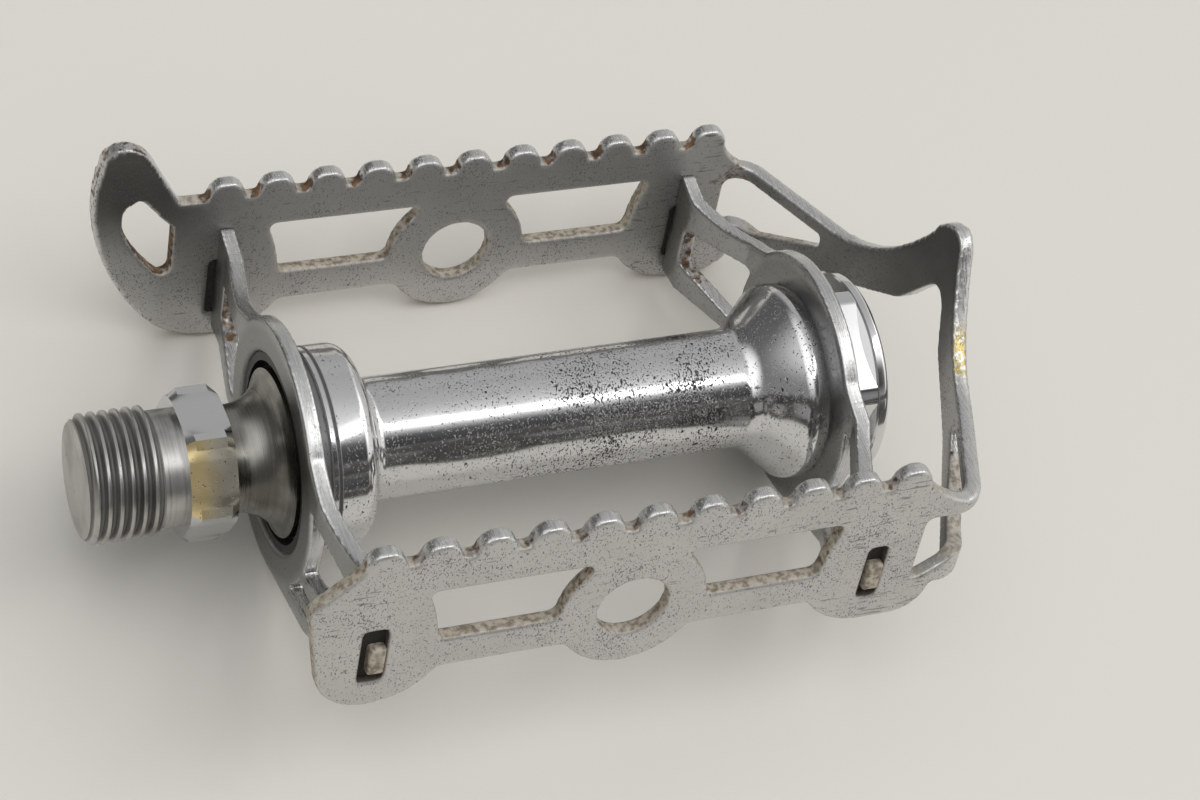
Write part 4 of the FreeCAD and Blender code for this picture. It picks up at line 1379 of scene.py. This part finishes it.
@dataclass
class Spindle:
    """Spindle: crank thread, hexagon collar, flared lip, inner cone, shaft and tail."""

    thread_r: float = 7.14
    thread_depth: float = 0.72
    thread_len: float = 10.6
    pitch: float = 1.27
    relief_r: float = 6.45
    relief_len: float = 2.4
    tip_chamfer: float = 0.8
    collar_len: float = 5.2
    collar_flats: float = 15.0
    collar_chamfer: float = 0.9
    collar_turn: float = -15.0
    worn_facet: int = 2
    neck_r: float = 6.0
    flare_x: float = 6.4
    lip_x: float = 11.0
    lip_back: float = 12.3
    lip_r: float = 9.4
    step_r: float = 7.0
    cone_foot: float = 20.9
    shaft_r: float = 4.6
    tail_r: float = 3.97
    tail_x: float = 70.66
    end_x: float = 79.9
    core_step: float = 0.3
    relief_slope: float = 0.4
    relief_sink: float = 0.6
    lip_round: float = 0.25
    groove_edge: Point = (0.80, 0.15)
    # painted shade in the thread grooves
    groove_shade_edge: Point = (0.62, 0.22)
    groove_shade_share: float = 0.65
    runout: float = 0.93
    thread_rows: int = 168
    thread_columns: int = 145
    segments: int = 240

    def thread_tree(self) -> bpy.types.NodeTree:
        """Make a geometry tree of a screw thread: a sheet rolled round X whose radius follows the helix.

        Returns:
            The tree.
        """
        sizes = {"Start": -self.thread_len, "Length": self.thread_len - self.relief_len,
                 "Crest": self.thread_r, "Depth": self.thread_depth, "Pitch": self.pitch,
                 "Chamfer": self.tip_chamfer}
        tree, graph, given = nodes_tree("Screw Thread", sizes)
        sheet = graph.add("GeometryNodeMeshGrid", {
            "Size X": 1.0, "Size Y": 1.0, "Vertices X": self.thread_rows,
            "Vertices Y": self.thread_columns}).outputs["Mesh"]
        spot = graph.add("ShaderNodeSeparateXYZ", {0: graph.add("GeometryNodeInputPosition").outputs[0]})
        share = graph.math("ADD", spot.outputs["X"], 0.5)
        turn = graph.math("ADD", spot.outputs["Y"], 0.5)
        along = graph.math("MULTIPLY", share, given["Length"])
        phase = graph.math("FRACT", graph.math("ADD", graph.math("DIVIDE", along, given["Pitch"]), turn))
        slope = graph.math("ABSOLUTE", graph.math("MULTIPLY_ADD", phase, 2.0, -1.0))
        groove = graph.step(slope, *self.groove_edge)
        fade = graph.step(share, 1.0, self.runout)
        depth = graph.math("MULTIPLY", given["Depth"], groove)
        runout = graph.math("MULTIPLY", given["Depth"], graph.math("SUBTRACT", 1.0, fade))
        radius = graph.math("SUBTRACT", given["Crest"], graph.math("MAXIMUM", depth, runout))
        tip = graph.math("ADD", graph.math("SUBTRACT", given["Crest"], given["Chamfer"]), along)
        radius = graph.math("MINIMUM", radius, tip)
        angle = graph.math("MULTIPLY", turn, 2 * math.pi)
        place = graph.add("ShaderNodeCombineXYZ", {
            "X": graph.math("MULTIPLY", graph.math("ADD", along, given["Start"]), MM),
            "Y": graph.math("MULTIPLY", graph.math("MULTIPLY", radius, graph.math("COSINE", angle)), MM),
            "Z": graph.math("MULTIPLY", graph.math("MULTIPLY", radius, graph.math("SINE", angle)), MM)})
        # painted shade in the thread grooves, stored for the finish
        groove_shade = graph.math("MULTIPLY", graph.step(slope, *self.groove_shade_edge), self.groove_shade_share)
        sheet_with_groove_shade = graph.add("GeometryNodeStoreNamedAttribute", {
            "Geometry": sheet, "Name": Mask.SHADE_AND_GRIME.value, "Value": groove_shade}).outputs[0]
        rolled = graph.add("GeometryNodeSetPosition", {
            "Geometry": sheet_with_groove_shade, "Position": place.outputs[0]}).outputs[0]
        closed = graph.add("GeometryNodeMergeByDistance", {
            "Geometry": rolled, "Distance": WELD_GAP * MM}).outputs[0]
        turned = graph.add("GeometryNodeFlipFaces", {"Mesh": closed}).outputs[0]
        close_tree(graph, turned, given["Material"])
        return tree

    def flare(self) -> list[Point]:
        """Points of the trumpet from the neck to the lip."""
        run, rise = self.lip_x - self.flare_x, self.lip_r - self.neck_r
        radius = (run ** 2 + rise ** 2) / (2 * rise)
        sweep = math.degrees(math.asin(run / radius))
        return arc((self.flare_x, self.neck_r + radius), radius, -90, sweep - 90, 14)

    def finish_at(self, place: Vector) -> Finish:
        """What the turned spindle is dressed in at a place.

        Args:
            place: The place in millimetres.

        Returns:
            The finish.
        """
        edge = 0.01
        if not -edge < place.x < self.collar_len + edge:
            return THREAD_STEEL if place.x < 0 else SPINDLE_STEEL
        facet = (math.degrees(math.atan2(place.z, place.y)) - self.collar_turn) // 60
        worn = facet == self.worn_facet and edge < place.x < self.collar_len - edge
        return COLLAR_FACET if worn else COLLAR_CHROME

    def build(self) -> None:
        """Grow the thread, turn the rest and dress both."""
        thread = grown(self.thread_tree(), {"Material": THREAD_STEEL.material()})
        add_piece("crank_thread", thread, THREAD_STEEL, Body.SPINDLE)
        tip, tip_r = -self.thread_len, self.thread_r - self.tip_chamfer
        core = [(tip, 0.0), (tip, tip_r), (tip + self.core_step, tip_r - self.core_step),
                (-self.relief_len - self.relief_slope, self.relief_r - self.relief_sink),
                (-self.relief_len, self.relief_r), (0.0, self.relief_r)]
        corner = self.collar_flats / math.sqrt(3)
        collar = [(0.0, corner - self.collar_chamfer), (self.collar_chamfer, corner),
                  (self.collar_len - self.collar_chamfer, corner),
                  (self.collar_len, corner - self.collar_chamfer)]
        lip = [(self.lip_x + self.lip_round, self.lip_r), (self.lip_back, self.lip_r),
               (self.lip_back, self.step_r)]
        inside = [(self.cone_foot - self.step_r, self.step_r), (self.cone_foot - self.shaft_r, self.shaft_r),
                  (self.tail_x, self.shaft_r), (self.tail_x, self.tail_r),
                  (self.end_x - self.tip_chamfer, self.tail_r), (self.end_x, self.tail_r - self.tip_chamfer),
                  (self.end_x, 0.0)]
        after = [(self.collar_len, self.neck_r)] + self.flare() + lip + inside
        widths = [0.0] * len(core) + [self.collar_flats] * len(collar) + [0.0] * len(after)
        mesh = lathe(core + collar + after, self.segments, widths, self.collar_turn)
        finishes = (SPINDLE_STEEL, COLLAR_CHROME, THREAD_STEEL, COLLAR_FACET)
        for finish in finishes:
            mesh.materials.append(finish.material())
        for polygon in mesh.polygons:
            polygon.material_index = finishes.index(self.finish_at(polygon.center / MM))
        add_piece("turned_spindle", mesh, SPINDLE_STEEL, Body.SPINDLE, ["spindle"])


@dataclass
class Bearings:
    """Two rings of loose balls, and the turned pieces that hold them."""

    ball_d: float = 3.175
    pitch_r: float = 6.4
    count: int = 12
    inner_x: float = 16.7875
    outer_x: float = 72.55
    ball_segments: int = 32
    turned: tuple[str, ...] = ("inner_bearing_cup", "outer_bearing_cup", "dust_seal", "outer_cone",
                               "lock_washer", "lock_nut")

    def ring_tree(self) -> bpy.types.NodeTree:
        """Make a geometry tree of a ring of balls round the spindle axis.

        Returns:
            The tree.
        """
        sizes = {"Count": float(self.count), "Ring": self.pitch_r * MM, "Ball": self.ball_d / 2 * MM,
                 "Place": 0.0}
        tree, graph, given = nodes_tree("Ball Ring", sizes)
        circle = graph.add("GeometryNodeMeshCircle", {"Vertices": given["Count"], "Radius": given["Ring"]})
        quarter = math.pi / 2
        move = graph.add("ShaderNodeCombineXYZ", {"X": given["Place"]}).outputs[0]
        upright = graph.add("GeometryNodeTransform", {"Geometry": circle.outputs[0], "Translation": move,
                                                      "Rotation": (quarter, 0.0, quarter)}).outputs[0]
        ball = graph.add("GeometryNodeMeshUVSphere", {
            "Segments": self.ball_segments, "Rings": self.ball_segments // 2, "Radius": given["Ball"]})
        balls = graph.add("GeometryNodeInstanceOnPoints", {"Points": upright, "Instance": ball.outputs[0]})
        close_tree(graph, balls.outputs[0], given["Material"])
        return tree

    def build(self, frame: dict) -> None:
        """Grow both rings of balls and dress the turned pieces.

        Args:
            frame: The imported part.
        """
        tree = self.ring_tree()
        rings = (("inner_ball", self.inner_x, Body.INNER_BALLS),
                 ("outer_ball", self.outer_x, Body.OUTER_BALLS))
        for name, x, body in rings:
            mesh = grown(tree, {"Place": x * MM, "Material": BALL_STEEL.material()})
            members = [f"{name}_{i:02d}" for i in range(1, self.count + 1)]
            add_piece(name + "_ring", mesh, BALL_STEEL, body, members)
        for node in self.turned:
            mesh = frame["nodes"][node].data
            mesh.materials.clear()
            mesh.materials.append(BEARING_STEEL.material())
            LOG.info("%s: dressed", node)


@dataclass
class Studio:
    """Pale table, soft overhead light in a plain room, and the camera of the photograph."""

    azimuth: float = -37.1517
    elevation: float = 53.1653
    roll: float = 23.1611
    distance: float = 306.759
    target: tuple[float, float, float] = (36.037, -17.834, 31.192)
    lens: float = 91.08
    table_colour: Colour = (0.81, 0.786, 0.730)
    table_roughness: float = 0.5
    table_half: float = 3.0
    lamp_way: tuple[float, float, float] = (0.362, -0.275, 0.900)
    lamp_range: float = 2.0
    lamp_size: tuple[float, float] = (1.6, 0.14)
    lamp_power: float = 4.0
    lamp_over: tuple[float, float, float] = (0.04, 0.0, 0.0)
    crank_end_tone: Colour = (0.60, 0.60, 0.60)
    outer_end_tone: Colour = (2.20, 2.18, 2.13)
    crank_end: Point = (0.18, -0.04)
    outer_end: Point = (0.52, 0.72)
    overhead: Point = (0.5, 0.98)
    least_lift: float = 0.36
    overhead_lift: float = 2.0
    front_lift: float = 0.5
    tones: tuple[Point, ...] = (
        (0.0, 0.42), (0.15, 0.50), (0.22, 0.47), (0.38, 0.56), (0.50, 0.79), (0.55, 0.90), (0.60, 1.30),
        (0.645, 0.52), (0.69, 0.09), (0.79, 0.05), (0.845, 0.30), (0.905, 0.09), (1.0, 0.045))

    def camera(self) -> None:
        """Place the camera by its azimuth, elevation and roll round the target."""
        turn, rise = math.radians(self.azimuth), math.radians(self.elevation)
        back = Vector((math.sin(turn) * math.cos(rise), -math.cos(turn) * math.cos(rise), math.sin(rise)))
        right = Vector((math.cos(turn), math.sin(turn), 0.0))
        up = back.cross(right)
        lean = math.radians(self.roll)
        across = right * math.cos(lean) + up * math.sin(lean)
        upward = up * math.cos(lean) - right * math.sin(lean)
        pose = Matrix((across, upward, back)).transposed().to_4x4()
        pose.translation = (Vector(self.target) + back * self.distance) * MM
        data = bpy.data.cameras.new("camera")
        data.lens = self.lens
        data.sensor_width = 36.0
        data.clip_start = 0.01
        camera = bpy.data.objects.new("camera", data)
        camera.matrix_world = pose
        bpy.context.scene.collection.objects.link(camera)
        bpy.context.scene.camera = camera

    def table(self, height: float) -> None:
        """Lay a pale table under the pedal.

        Args:
            height: Height of the table's top.
        """
        half = self.table_half
        mesh = bpy.data.meshes.new("table")
        sides = ((-half, -half), (half, -half), (half, half), (-half, half))
        mesh.from_pydata([(x, y, height) for x, y in sides], [], [(0, 1, 2, 3)])
        material = bpy.data.materials.new("pale_table")
        material.use_nodes = True
        shader = material.node_tree.nodes["Principled BSDF"]
        shader.inputs["Base Color"].default_value = (*self.table_colour, 1.0)
        shader.inputs["Roughness"].default_value = self.table_roughness
        mesh.materials.append(material)
        table = bpy.data.objects.new("table", mesh)
        bpy.context.scene.collection.objects.link(table)
        table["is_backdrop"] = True

    def room(self) -> None:
        """Plain room: pale behind the pedal, overhead and at both ends, darker behind the camera.

        The tones run over the room from the far side, 0, through overhead, 0.5, to the near side, 1.
        """
        world = bpy.data.worlds.new("room")
        world.use_nodes = True
        bpy.context.scene.world = world
        graph = Graph(world.node_tree)
        way = graph.add("ShaderNodeSeparateXYZ", {0: graph.add("ShaderNodeTexCoord").outputs["Generated"]})
        back = graph.math("MULTIPLY", way.outputs["Y"], -1.0)
        angle = graph.math("ARCTAN2", back, way.outputs["Z"])
        share = graph.math("MULTIPLY_ADD", angle, 1 / math.pi, 0.5)
        ramp = graph.add("ShaderNodeValToRGB", {"Fac": share})
        points = ramp.color_ramp.elements
        for place, _ in self.tones[1:-1]:
            points.new(place)
        for point, (_, tone) in zip(points, self.tones):
            point.color = (tone, tone, tone, 1.0)
        shader = world.node_tree.nodes["Background"]
        crank_end = graph.step(way.outputs["X"], *self.crank_end)
        outer_end = graph.step(way.outputs["X"], *self.outer_end)
        colour = graph.mix(crank_end, ramp.outputs["Color"], self.crank_end_tone)
        graph.feed(shader.inputs["Color"], graph.mix(outer_end, colour, self.outer_end_tone))
        overhead = graph.step(way.outputs["Z"], *self.overhead)
        height = graph.math("MULTIPLY_ADD", overhead, self.overhead_lift, self.least_lift)
        lift = graph.math("MULTIPLY", height, graph.math("MULTIPLY_ADD", back, self.front_lift, 1.0))
        ends = graph.math("ADD", crank_end, outer_end)
        graph.feed(shader.inputs["Strength"], graph.blend(ends, 1.0, lift))

    def lamp(self) -> None:
        """Hang a long soft lamp overhead."""
        data = bpy.data.lights.new("overhead", "AREA")
        data.shape = "RECTANGLE"
        data.size, data.size_y = self.lamp_size
        data.energy = self.lamp_power
        lamp = bpy.data.objects.new("overhead", data)
        way = Vector(self.lamp_way).normalized()
        spot = Matrix.Translation(way * self.lamp_range + Vector(self.lamp_over))
        lamp.matrix_world = spot @ way.to_track_quat("Z", "Y").to_matrix().to_4x4()
        bpy.context.scene.collection.objects.link(lamp)

    def build(self, height: float) -> None:
        """Set up camera, table, room and lamp.

        Args:
            height: Height of the table's top.
        """
        bpy.context.scene.view_settings.view_transform = "Standard"
        self.camera()
        self.table(height)
        self.room()
        self.lamp()


def main() -> None:
    """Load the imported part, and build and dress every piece."""
    logging.basicConfig(level=logging.INFO, format="%(name)s: %(message)s")
    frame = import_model()
    solid_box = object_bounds()
    Studio().build(solid_box[0].z)
    Cage().build(frame)
    CrossPlate("inner_cross_plate").build(frame)
    CrossPlate("outer_cross_plate").build(frame)
    SlotShadeBlocks().build()
    Barrel().build()
    DustCap().build()
    Spindle().build()
    Bearings().build(frame)


if __name__ == "__main__":
    main()
